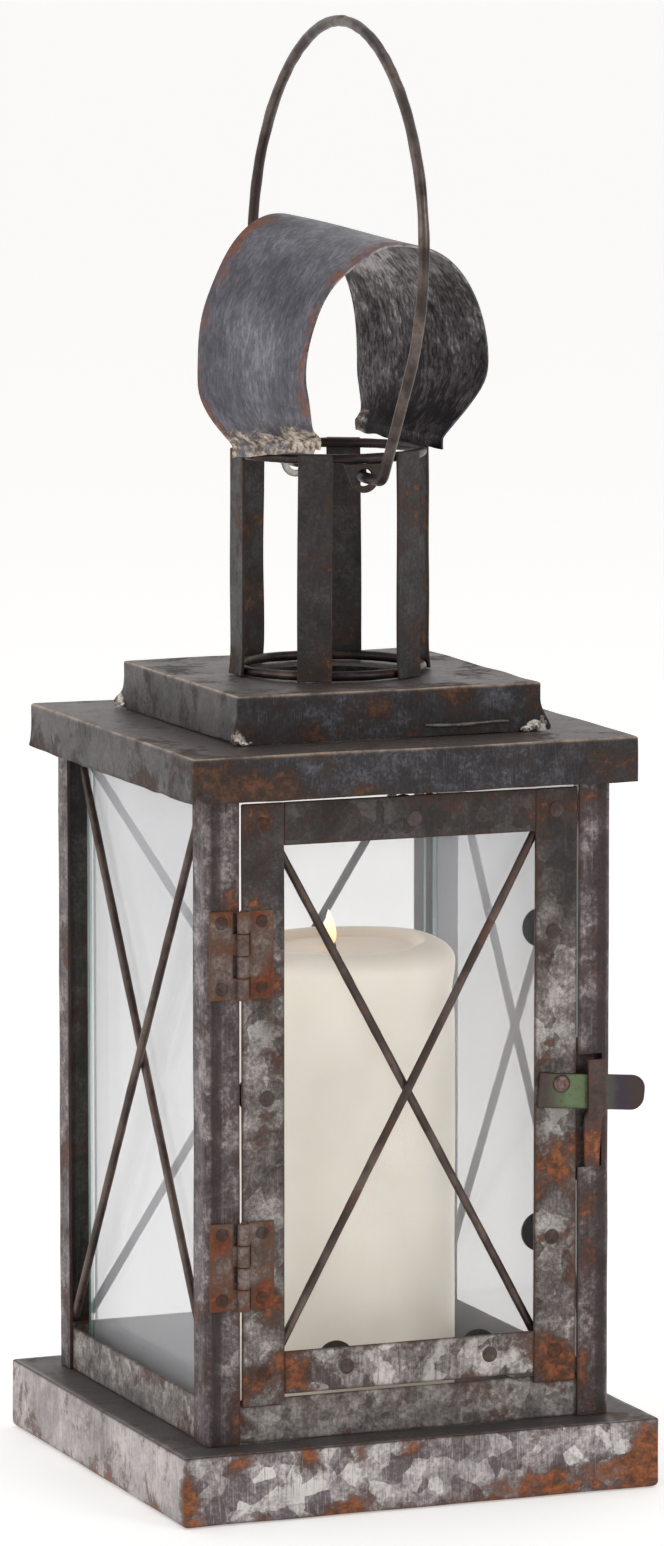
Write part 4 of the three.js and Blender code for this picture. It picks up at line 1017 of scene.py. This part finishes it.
# A corner post seen from above, in distances in from its corner: in along one leg, round the bend and out
# along the other, with a shallow groove drawn down the first leg
def makePost(name, signs, seed):
    low, high = boxOf(name)
    half = max(abs(low[0]), abs(high[0]))
    rise = np.arange(low[2], high[2], 3 * mm)
    notched = name == "post_front_right"
    if notched:
        ends = np.array(post["notch"])
        rise = np.sort(np.concatenate([rise, ends - 0.01 * mm, ends + 0.01 * mm]))
    rise = np.append(rise, high[2])
    bend, leg = post["bend"], post["leg"]
    cut = (rise > post["notch"][0]) & (rise < post["notch"][1]) & notched
    reach = np.where(cut, post["notchLeg"], leg)
    share = np.array([0, 0.04, 0.1, 0.2, 0.32, 0.44, 0.52, 0.57, 0.6, 0.63, 0.68, 0.78, 0.9])[:, None]
    firstX = reach * (1 - share) + bend * share
    arc = np.radians(np.linspace(270, 180, 9))[:, None] + 0 * rise
    otherY = bend + (leg - bend) * np.linspace(0, 1, 10)[1:, None] + 0 * rise
    x = np.concatenate([firstX, bend + bend * np.cos(arc), 0 * otherY])
    y = np.concatenate([0 * firstX, bend + bend * np.sin(arc), otherY])
    inward = np.concatenate([np.stack([0 * firstX, 0 * firstX + 1], -1),
                             np.stack([-np.cos(arc), -np.sin(arc)], -1),
                             np.stack([0 * otherY + 1, 0 * otherY], -1)])
    groove = np.exp(-((x - post["groove"]) / (0.45 * mm)) ** 2) * (y < 0.1 * mm) * post["grooveDepth"]
    plan = np.stack([x, y], -1) + inward * groove[..., None]
    layers = []
    for depth in (0, post["thick"]):
        corner = half - (plan + inward * depth)
        grid = np.concatenate([corner * signs, np.broadcast_to(rise, x.shape)[..., None]], -1)
        sway = np.abs(ripple(grid, 70 * mm, seed))[..., None] * 0.15 * mm
        grid[..., :2] -= sway * inward * signs
        layers.append(grid)
    edge = np.minimum(np.where(y < bend, reach - x, leg - y), np.minimum(rise - low[2], high[2] - rise))
    # band: a dark stripe on the front leg beside the rounded corner, carried by the fold mark: painted shade
    onFront = smoothStep(-x, -7 * mm, -4.5 * mm) * (y < bend)
    band = onFront * smoothStep(x, 1.2 * mm, 2.4 * mm) * smoothStep(-x, -5.6 * mm, -4.6 * mm)
    marks = {"rim": np.exp(-edge / (1.6 * mm)), "fold": band}
    piece = makeShell(name + "_sheet", layers[0], layers[1], False, postZinc, marks)
    settle(piece, "lantern", "galvanized", name)


def makeFrame():
    for seed, (name, signs) in enumerate({"post_front_left": (-1, -1), "post_front_right": (1, -1),
                                          "post_back_right": (1, 1), "post_back_left": (-1, 1)}.items()):
        makePost(name, np.array(signs, dtype=float), 31 + seed)
    for seed, side in enumerate(("front", "right", "back", "left")):
        barFor("rail_" + side, sillZinc, "lantern", "galvanized", 41 + seed)
    # A strip behind the latch notch, put there so the notch shows dark: it stands for the shade seen through
    # it
    barFor("latch_slot_backing", postZinc, "lantern", "galvanized", 47)
    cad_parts["top_frame"].material_slots[0].material = frameZinc


# Guard wires: straight wires from corner to corner, the rising one starting at the left seen from outside
def makeGuards():
    for wall, way in {"door": 1, "right": 1, "back": -1, "left": -1}.items():
        across = 0 if wall in ("door", "back") else 1
        for kind in ("rising", "falling"):
            node = f"{wall}_rod_{kind}"
            low, high = boxOf(node)
            radius = (high[1 - across] - low[1 - across]) / 2
            middle, reach = (low + high) / 2, (high - low) / 2
            slope = math.atan2(reach[2], reach[across])
            step = np.zeros(3)
            step[across] = way * (reach[across] - radius * math.sin(slope)) * (1 if kind == "rising" else -1)
            step[2] = reach[2] - radius * math.cos(slope)
            t = np.linspace(-1, 1, 60)[:, None]
            bowed = np.zeros((60, 3))
            bowed[:, across] = 0.25 * mm * (1 - t[:, 0] ** 2)
            path = middle + t * step + bowed
            piece = makeWire(node + "_wire", path, radius, guardWire, sideWay=np.eye(3)[1 - across],
                             dent=0.06 * mm)
            settle(piece, "door" if wall == "door" else "lantern", "dark_wire", node)


def makeGlass():
    for wall in ("right", "back", "left", "door"):
        low, high = boxOf("glass_" + wall)
        thick = int(np.argmin(high - low))
        pane = makeBar(f"glass_{wall}_pane", low, high, 2, 1 - thick, paneGlass, rounding=0.35 * mm, bow=0.0,
                       cut=True)
        settle(pane, "door" if wall == "door" else "lantern", "glass", "glass_" + wall)


strips = {"count": 6, "flare": 0.7 * mm, "lean": 0.5 * mm}


def makeCage():
    for level in ("lower", "upper"):
        low, high = boxOf("ring_" + level)
        wire = (high[2] - low[2]) / 2
        angle = np.linspace(0, 2 * math.pi, 96, endpoint=False)
        circle = np.stack([np.cos(angle), np.sin(angle), 0 * angle], -1) * (high[0] - wire)
        circle[:, 2] = (low[2] + high[2]) / 2
        piece = makeWire(f"ring_{level}_wire", circle, wire, ringWire, closed=True, dent=0.08 * mm)
        settle(piece, "lantern", "dark_wire", "ring_" + level)
    low, high = boxOf("chimney_strip_2")
    wide = high[1]
    for i in range(strips["count"]):
        turn = (2 * i + 1) * math.pi / strips["count"]

        def flare(points, low=low, high=high, i=i):
            foot = np.exp(-(points[..., 2] - low[2]) / (4 * mm))
            points = points.copy()
            points[..., 1] -= foot * strips["flare"] * (0.4 + (points[..., 0] / wide) ** 2)
            points[..., 0] += np.sin((points[..., 2] - low[2]) / (24 * mm) + 2 * i) * strips["lean"] * 0.5
            return points
        near, far = (-wide, -high[0], low[2]), (wide, -low[0], high[2])
        bar = makeBar(f"chimney_strip_{i + 1}_strap", near, far, 2, 0, strapIron, turn=turn, bow=0.2 * mm,
                      seed=51 + i, bend=flare)
        settle(bar, "lantern", "dark_strap", f"chimney_strip_{i + 1}")


hood = {
    "turn": math.radians(30), "length": 49 * mm, "shift": 3.5 * mm, "foot": 331 * mm, "flare": 4 * mm,
    "waist": 361 * mm, "half": 45.3 * mm, "rise": 45 * mm, "footHalf": 32.65 * mm, "thick": 0.9 * mm,
    "crumple": 0.22 * mm, "dent": 0.45 * mm, "cutBack": 4 * mm, "slant": 2.3 * mm, "spread": 0.07,
    "dip": 0.094, "pinch": 0.735, "knee": 339 * mm, "shoulder": 349 * mm, "rag": 0.3 * mm,
}


# The hood's loop, a function of distance round it and place along its axis: a straight foot, a Bezier flare,
# half an ellipse, then back. It is drawn in and cut back at a slant at the feet, and wider and lower towards
# its front rim.
def makeHood():
    t = np.linspace(0, 1, 16)[1:, None]
    foot, half, waist = hood["footHalf"], hood["half"], hood["waist"]
    start = np.array([foot, hood["foot"] + hood["flare"]])
    control = np.array([start, (foot + 3 * mm, hood["knee"]), (half, hood["shoulder"]), (half, waist)])
    flare = ((1 - t) ** 3 * control[0] + 3 * (1 - t) ** 2 * t * control[1]
             + 3 * (1 - t) * t ** 2 * control[2] + t ** 3 * control[3])
    straight = np.linspace((foot, hood["foot"]), start, 5)
    arch = np.linspace(0, math.pi / 2, 44)[1:]
    arch = np.stack([half * np.cos(arch), waist + hood["rise"] * np.sin(arch)], -1)
    side = np.concatenate([straight, flare, arch])
    outline = np.concatenate([side, side[-2::-1] * [-1, 1]])
    along = np.linspace(-1, 1, 41)
    edges = np.array([-1, -0.985, -0.96, 0.96, 0.985, 1])
    along = np.unique(np.concatenate([along, edges]))
    height = np.broadcast_to(outline[:, 1:], (len(outline), len(along)))
    wide = 1 + hood["spread"] * along * smoothStep(height, hood["foot"] + 5 * mm, waist)
    pinch = hood["pinch"] + (1 - hood["pinch"]) * smoothStep(height, hood["foot"] + 3 * mm, waist - 4 * mm)
    x = outline[:, :1] * wide
    z = height - np.maximum(height - waist, 0) * hood["dip"] * along
    y = -(along * hood["length"] / 2 * pinch + hood["shift"])
    fade = smoothStep(-height, -hood["foot"] - 16 * mm, -hood["foot"])
    z = z + (hood["cutBack"] - hood["slant"] * along * np.sign(x)) * fade
    grid = np.stack([x, y, z], -1)
    low = np.exp(-(height - hood["foot"]) / (6 * mm))
    grid[..., 2] += ripple(grid, 9 * mm, 61) * hood["rag"] * np.exp(-(height - hood["foot"]) / (2.5 * mm))
    normal = gridNormals(grid, False)
    normal *= np.sign((normal[..., 0] * grid[..., 0]).mean())
    push = ripple(grid, 6.5 * mm, 63) * hood["crumple"] * low
    push = push + ripple(grid, 40 * mm, 64) * hood["dent"] * (1 - low)
    outer = grid + normal * push[..., None]
    inner = outer - normal * hood["thick"]
    turn = np.array(Matrix.Rotation(hood["turn"], 3, "Z")).T
    loop = np.concatenate([[0], np.cumsum(np.linalg.norm(np.diff(outline, axis=0), axis=1))])
    across = along * hood["length"] / 2
    toRim = (1 - np.abs(along)) * hood["length"] / 2
    shape = height.shape
    # the solder has run over one foot, and only over the back corner of the other
    fluxed = np.where(x < 0, 0.75 + 0.25 * along, smoothStep(-along * np.ones(shape), 0.55, 0.95) * 0.8)
    flow = np.stack(np.broadcast_arrays(loop[:, None], across, np.zeros(shape)), -1)
    marks = {"flow": flow, "rim": np.broadcast_to(smoothStep(-toRim, -9 * mm, -1 * mm), shape),
             "foot": smoothStep(-height, -hood["foot"] - 19 * mm, -hood["foot"] - 5 * mm) * fluxed}
    piece = makeShell("smoke_hood_sheet", outer @ turn, inner @ turn, False, hoodSheet, marks)
    settle(piece, "lantern", "hood_sheet", "smoke_hood")


lug = {"round": 5 * mm, "half": 7 * mm, "hole": 2.8 * mm}


def makeLugs():
    for side, material in (("front", strapIron), ("back", paleLug)):
        low, high = boxOf("bail_lug_" + side)
        pivot = boxOf("bail_handle")[0][2] + bail["wire"]
        top, half, around = high[2] - pivot, lug["half"], lug["round"]
        lean = math.atan2(top, half) - math.acos(around / math.hypot(top, half))
        arc = arcPoints((0, 0), around, 180 - math.degrees(lean), 360 + math.degrees(lean), 60)
        right = linePoints(arc[-1], (half, top), 12)[1:]
        outline = np.concatenate([arc, right, linePoints((half, top), (-half, top), 24),
                                  linePoints((-half, top), arc[0], 12)])
        matrix = np.array([[1, 0, 0, 0], [0, 0, -1, (low[1] + high[1]) / 2], [0, 1, 0, pivot], [0, 0, 0, 1]])
        plate = makeHoledPlate(f"bail_lug_{side}_plate", outline, lug["hole"], high[1] - low[1], matrix,
                               material)
        settle(plate, "lantern", "dark_strap", "bail_lug_" + side)


bail = {
    "radius": 74.8 * mm, "centre": 70.5 * mm, "wire": 1.8 * mm, "lean": math.radians(1.7), "hook": 2.6 * mm,
    "bend": 6 * mm, "leave": -30, "eye": 27 * mm, "tip": 3.4 * mm,
}


# The bail's line in its own plane: up from the hooked tip, round the hook, round the bend at the foot and up
# over the hoop; then the same mirrored
def makeBail():
    pivot = boxOf("bail_handle")[0][2] + bail["wire"]
    slope = math.radians(bail["leave"])
    around, lift, bend = bail["radius"], bail["centre"], bail["bend"]
    eye, hook = bail["eye"], bail["hook"]
    foot = around * math.cos(slope) + (lift + around * math.sin(slope)) * math.tan(slope)
    bendX = foot - bend * math.tan(math.pi / 6)
    half = np.concatenate([
        [(eye, bail["tip"])],
        arcPoints((eye + hook, hook), hook, 180, 270, 12),
        linePoints((eye + hook, 0), (bendX, 0), 8)[1:],
        arcPoints((bendX, bend), bend, 270, 330, 12),
        arcPoints((0, lift), around, bail["leave"], 90, 90)])
    line = np.concatenate([half * [-1, 1], half[-2::-1]])
    path = np.stack([0 * line[:, 0], line[:, 0], line[:, 1]], -1)
    path[:, 0] += 0.5 * mm * np.sin(line[:, 0] / (23 * mm)) * smoothStep(line[:, 1], 20 * mm, 60 * mm)
    path = path @ np.array(Matrix.Rotation(bail["lean"], 3, "Y")).T + [0, 0, pivot]
    piece = makeWire("bail_handle_wire", path, bail["wire"], bailWire, sideWay=(1, 0, 0), sides=24,
                     dent=0.09 * mm)
    settle(piece, "bail", "dark_wire", "bail_handle")


flame = {"radius": 2.2 * mm, "height": 12.4 * mm, "swell": 0.62, "lean": -0.6 * mm}
candle = {"roll": (10 * mm, 6.5 * mm), "lip": 3.5 * mm, "pool": 2.6 * mm, "sag": 1.3 * mm}


# The candle: a straight side, a shoulder that is a quarter of an ellipse, and a lip falling to a shallow
# pool; its top edge has slumped unevenly, over a band that is drawn in, deepest at the front right
def makeCandle():
    low, high = boxOf("candle")
    centre = (low + high) / 2
    radius, top = (high[0] - low[0]) / 2, high[2] - low[2]
    wide, deep = candle["roll"]
    brim = radius - wide
    crown = arcPoints((0, 0), 1, 0, 90, 20) * [wide, deep] + [brim, top - deep]
    fall = np.linspace(0.08, 1, 9)
    inner = np.stack([brim - candle["lip"] * fall, top - candle["pool"] * fall ** 1.6], -1)
    floorLine = linePoints(inner[-1], (0, inner[-1, 1] - 0.3 * mm), 8)[1:]
    profile = np.concatenate([[(0, 0), (radius * 0.6, 0), (radius - 0.6 * mm, 0), (radius, 0.6 * mm)],
                              np.linspace((radius, 3 * mm), (radius, top - deep), 40, endpoint=False), crown,
                              inner, floorLine, [(0, inner[-1, 1] - 0.3 * mm)]])

    def slump(points):
        flat = points - [centre[0], centre[1], 0]
        angle = np.arctan2(flat[..., 1], flat[..., 0])
        away = np.linalg.norm(flat[..., :2], axis=-1)
        onSide = away > radius * 0.8
        upper = smoothStep(points[..., 2], low[2] + top - 16 * mm, low[2] + top - 4 * mm)
        upper = upper * smoothStep(away, 12 * mm, 26 * mm)
        wave = 0.5 * np.sin(angle + 2.2) + 0.3 * np.sin(2 * angle + 0.4) + 0.14 * np.sin(5 * angle) - 0.45
        side = np.exp(-((angle + 0.75) / 0.5) ** 2)
        band = np.exp(-((points[..., 2] - low[2] - top + 17 * mm) / (5 * mm)) ** 2) * onSide
        points = points.copy()
        points[..., 2] += upper * wave * candle["sag"]
        pull = band * (0.35 + 1.3 * side) * mm
        pull = pull + 0.12 * mm * (1 + ripple(points, 40 * mm, 71)) * onSide
        points[..., :2] -= unit(flat[..., :2]) * pull[..., None]
        return points
    rings = 96
    away = np.tile(profile[:, 0], (rings, 1))
    height = np.tile(profile[:, 1], (rings, 1))
    pool = smoothStep(-away, -brim, -brim + candle["lip"]) * (height > top / 2)
    # glow marks the top 45 mm, where the wax's painted glow is strongest
    glow = smoothStep(height, top - 45 * mm, top)
    piece = makeTurned("candle_wax", profile, (centre[0], centre[1], low[2]), (0, 0, 1), paraffin, rings, 50,
                       slump, {"pool": pool.ravel(), "glow": glow.ravel()})
    settle(piece, "lantern", "wax", "candle")
    low, high = boxOf("wick")
    t = np.linspace(0, 1, 14)
    length = high[2] - low[2]
    line = np.stack([(low[0] + high[0]) / 2 - 1.4 * mm * t, 0 * t - 0.4 * mm * t ** 2,
                     low[2] + length * t * 0.9], -1)
    thick = 0.9 * mm * (1 - 0.35 * t ** 2)
    piece = makeWire("wick_braid", line, thick, cotton, sideWay=(0, 1, 0), sides=12, dent=0.12 * mm)
    settle(piece, "lantern", "wick", "wick")
    # the flame: a drop whose radius follows sin(pi * t^swell)^0.9 and whose tip leans
    t = np.linspace(0, 1, 28)
    wide = flame["radius"] * np.sin(math.pi * t ** flame["swell"]) ** 0.9
    drop = np.stack([wide, flame["height"] * t], -1)

    def sway(points, low=low):
        points = points.copy()
        lift = (points[..., 2] - low[2]) / flame["height"]
        points[..., 0] += flame["lean"] * lift ** 2
        return points
    climb = np.tile(t, (32, 1)).ravel()
    start = (line[0, 0] - 1.3 * mm, line[0, 1], low[2] + 0.4 * mm)
    piece = makeTurned("candle_flame", drop, start, (0, 0, 1), flameGlow, 32, 80, sway, {"climb": climb})
    settle(piece, "lantern", "wick")


hinge = {
    "gap": 2.8 * mm, "thick": 0.8 * mm, "knuckle": 1.95 * mm, "pin": 1.0 * mm, "count": 4,
    "running": 0.3 * mm, "rivet": 2.2 * mm, "rivetIn": 3.6 * mm,
}


# A rivet head: a ring round a dished middle, or a low dome, as shares of its radius and height
def rivetHead(name, centre, radius, proud, way, material, ring=True):
    if ring:
        head = [(0, 0.35), (0.3, 0.3), (0.45, 0.8), (0.65, 1), (0.88, 0.75), (1, 0)]
    else:
        head = [(0, 1), (0.4, 0.95), (0.75, 0.7), (0.95, 0.3), (1, 0)]
    foot = -0.2 * mm
    profile = [(radius * r, proud * h) for r, h in head] + [(radius * 0.9, foot), (0, foot)]
    return makeTurned(name, profile, centre, way, material, 28, 60)


# Half a hinge: a plate, and knuckles rolled from a strip that runs off the plate and round the pin
def makeLeaf(level, side, body, slotName):
    node = f"hinge_{level}_{'post' if side < 0 else 'door'}_leaf"
    low, high = boxOf(node)
    pin = boxOf(f"hinge_{level}_pin")
    line = (pin[0] + pin[1]) / 2
    inner, outer = line[0] + side * hinge["gap"], (low[0] if side < 0 else high[0])
    back = high[1]
    left, right = min(inner, outer), max(inner, outer)
    plate = makeBar("leaf", (left, back - hinge["thick"], low[2]), (right, back, high[2]), 2, 0, hingeIron,
                    seed=81)
    parts = [plate]
    pitch = (high[2] - low[2]) / hinge["count"]
    middle = hinge["knuckle"] - hinge["thick"] / 2
    roll = arcPoints((0, 0), middle, 90, 395, 34)
    reach = np.linspace((-(hinge["gap"] + 0.8 * mm), back - hinge["thick"] / 2 - line[1]),
                        (-0.3 * mm, middle), 6)[:-1]
    strip = np.concatenate([reach, roll]) * [-side, 1]
    way = unit(np.gradient(strip, axis=0))
    out = np.stack([-way[:, 1], way[:, 0]], -1) * -side
    for i in range(0 if side < 0 else 1, hinge["count"], 2):
        bottom = low[2] + i * pitch + (hinge["running"] / 2 if i > 0 else 0)
        top = low[2] + (i + 1) * pitch - (hinge["running"] / 2 if i < hinge["count"] - 1 else 0)
        rise = np.linspace(bottom, top, 6)
        layers = []
        for depth in (0.5, -0.5):
            plan = strip + out * hinge["thick"] * depth + line[:2]
            layers.append(np.concatenate([np.repeat(plan[:, None], 6, 1),
                                          np.broadcast_to(rise, (len(plan), 6))[..., None]], -1))
        ends = np.minimum(rise - bottom, top - rise)
        rim = np.broadcast_to(np.exp(-ends / (0.8 * mm)), (len(strip), 6))
        parts.append(makeShell("knuckle", layers[0], layers[1], False, hingeIron, {"rim": rim}))
    for end in (-1, 1):
        place = ((left + right) / 2, back - hinge["thick"],
                 line[2] + end * ((high[2] - low[2]) / 2 - hinge["rivetIn"]))
        parts.append(rivetHead("rivet", place, hinge["rivet"], 0.3 * mm, (0, -1, 0), rivetIron,
                               end * side > 0))
    piece = joinPieces(node + "_plate", parts)
    settle(piece, body, slotName, node)


def makeHinges():
    for level in ("upper", "lower"):
        makeLeaf(level, -1, "lantern", "rusty_hinge")
        makeLeaf(level, 1, "door", "rusty_hinge")
        low, high = boxOf(f"hinge_{level}_pin")
        centre = (low + high) / 2
        pin, ease, long = hinge["pin"], 0.2 * mm, high[2] - low[2]
        profile = [(0, 0), (pin - ease, 0), (pin, ease), (pin, long - ease), (pin - ease, long), (0, long)]
        piece = makeTurned(f"hinge_{level}_pin_rod", profile, (centre[0], centre[1], low[2]), (0, 0, 1),
                           hingeIron, 24)
        settle(piece, "lantern", "rusty_hinge", f"hinge_{level}_pin")


doorRivets = {"radius": 2.6 * mm, "proud": 0.32 * mm,
              "corners": ((-50.5, 222.5), (50.5, 222.5), (-50.5, 45.3), (50.5, 45.3))}


def makeDoor():
    for seed, node in enumerate(("door_stile_left", "door_stile_right", "door_rail_top")):
        barFor(node, doorZinc, "door", "galvanized", 91 + seed)
    barFor("door_rail_bottom", doorRailZinc, "door", "galvanized", 94)
    front = boxOf("door_stile_left")[0][1]
    heads = [(x * mm, z * mm) for x, z in doorRivets["corners"]]
    for name in ("right_upper", "right_lower", "left", "bottom_left", "bottom_right", "top"):
        low, high = boxOf("glass_clip_" + name)
        x, z = (low[0] + high[0]) / 2, (low[2] + high[2]) / 2
        heads.append((x, z))
        disc, radius = high[1], (high[0] - low[0]) / 2
        depth = high[1] - low[1]
        profile = [(0, depth), (1.5 * mm, depth), (1.5 * mm, 1.0 * mm), (radius - 0.3 * mm, 1.0 * mm),
                   (radius, 0.75 * mm), (radius, 0.25 * mm), (radius - 0.3 * mm, 0), (2.2 * mm, 0),
                   (1.6 * mm, 0), (0, 0.3 * mm)]
        piece = makeTurned(f"glass_clip_{name}_disc", profile, (x, disc, z), (0, -1, 0), strapIron, 48)
        settle(piece, "door", "dark_strap", "glass_clip_" + name)
    radius, proud = doorRivets["radius"], doorRivets["proud"]
    parts = [rivetHead("head", (x, front, z), radius, proud, (0, -1, 0), rivetIron) for x, z in heads]
    settle(joinPieces("door_rivets", parts), "door", "galvanized")


latch = {
    "left": -7.7 * mm, "right": 29.7 * mm, "top": 3.3 * mm, "wide": 11.4 * mm, "corner": 4.5 * mm,
    "thick": 1.5 * mm, "droop": math.radians(5), "hole": 1.75 * mm, "gap": 0.2 * mm,
}
keeper = {"line": ((-0.6, 105.1), (-0.6, 120.3), (2.75, 123.65), (2.75, 140.5)), "thick": 1.2 * mm}


def makeLatch():
    rivet = boxOf("latch_rivet")
    centre = (rivet[0] + rivet[1]) / 2
    face = boxOf("door_stile_right")[0][1]
    low, top, corner = latch["top"] - latch["wide"], latch["top"], latch["corner"]
    left, right = latch["left"], latch["right"]
    outline = np.concatenate([
        linePoints((left, low), (right - corner, low), 50),
        arcPoints((right - corner, low + corner), corner, -90, 0, 12),
        arcPoints((right - corner, top - corner), corner, 0, 90, 12),
        linePoints((right - corner, top), (left, top), 50)[1:],
        linePoints((left, top), (left, low), 16)])
    lean = np.array(Matrix.Rotation(latch["droop"], 3, "Y"))
    frameTurn = lean @ np.array([[1, 0, 0], [0, 0, -1], [0, 1, 0]])
    matrix = np.eye(4)
    matrix[:3, :3] = frameTurn
    matrix[:3, 3] = (centre[0], face - latch["gap"] - latch["thick"] / 2, centre[2])
    bar = makeHoledPlate("latch_bar_plate", outline, latch["hole"], latch["thick"], matrix, latchPatina)
    settle(bar, "latch", "latch_steel", "latch_bar")
    proud = face - rivet[0][1]
    shank = latch["gap"] + latch["thick"]
    head, seat = proud / mm, shank / mm + 0.15
    profile = np.array([
        (0, head - 0.3), (0.7, head - 0.25), (1.0, head - 0.05), (1.7, head - 0.12), (2.6, head - 0.45),
        (2.9, head - 0.85), (2.9, seat), (1.6, seat), (1.6, -1.3), (2.6, -1.3), (2.5, -1.8), (1.6, -2.1),
        (0, -2.1)])
    piece = makeTurned("latch_rivet_head", profile * mm, (centre[0], face, centre[2]), (0, -1, 0),
                       rivetSteel, 40, 50)
    settle(piece, "door", "rusty_hinge", "latch_rivet")
    # the keeper: a strap following its line up the leg, out, and up in front of the bar
    side = boxOf("latch_keeper")
    corners = np.array(keeper["line"]) * mm
    path = np.concatenate([linePoints(corners[0], corners[1], 14), linePoints(corners[1], corners[2], 7),
                           linePoints(corners[2], corners[3], 14), corners[3:]])
    for i in (13, 14, 20, 21):  # the bends are eased, not sharp
        path[i] = path[i - 1:i + 2].mean(0)
    way = unit(np.gradient(path, axis=0))
    out = np.stack([way[:, 1], -way[:, 0]], -1)
    share = np.array([0, 0.06, 0.2, 0.4, 0.6, 0.8, 0.94, 1])
    low, high = side[0][0], side[1][0]
    tail = smoothStep(-path[:, 1], -121 * mm, -105 * mm)
    x = low + tail[:, None] * 0.2 * mm + (high - low - tail[:, None] * 1.1 * mm) * share
    layers = []
    for depth in (0.5, -0.5):
        plan = path + out * keeper["thick"] * depth
        layers.append(np.stack([x, np.repeat(face - plan[:, :1], len(share), 1),
                                np.repeat(plan[:, 1:], len(share), 1)], -1))
    edge = np.minimum(share, 1 - share)[None] * (high - low)
    edge = np.minimum(edge, np.minimum(path[:, 1] - path[0, 1], path[-1, 1] - path[:, 1])[:, None])
    piece = makeShell("latch_keeper_strap", layers[0], layers[1], False, keeperIron,
                      {"rim": np.exp(-edge / (0.9 * mm))})
    settle(piece, "lantern", "latch_steel", "latch_keeper")


makeBase()
makeRoof()
makeSolder()
print("base and roof made")
makeFrame()
makeGuards()
makeGlass()
print("frame, guard wires and glass made")
makeCage()
makeHood()
makeLugs()
makeBail()
print("chimney cage, hood and bail made")
makeCandle()
print("candle made")
makeDoor()
makeHinges()
makeLatch()
print("door, hinges and latch made")
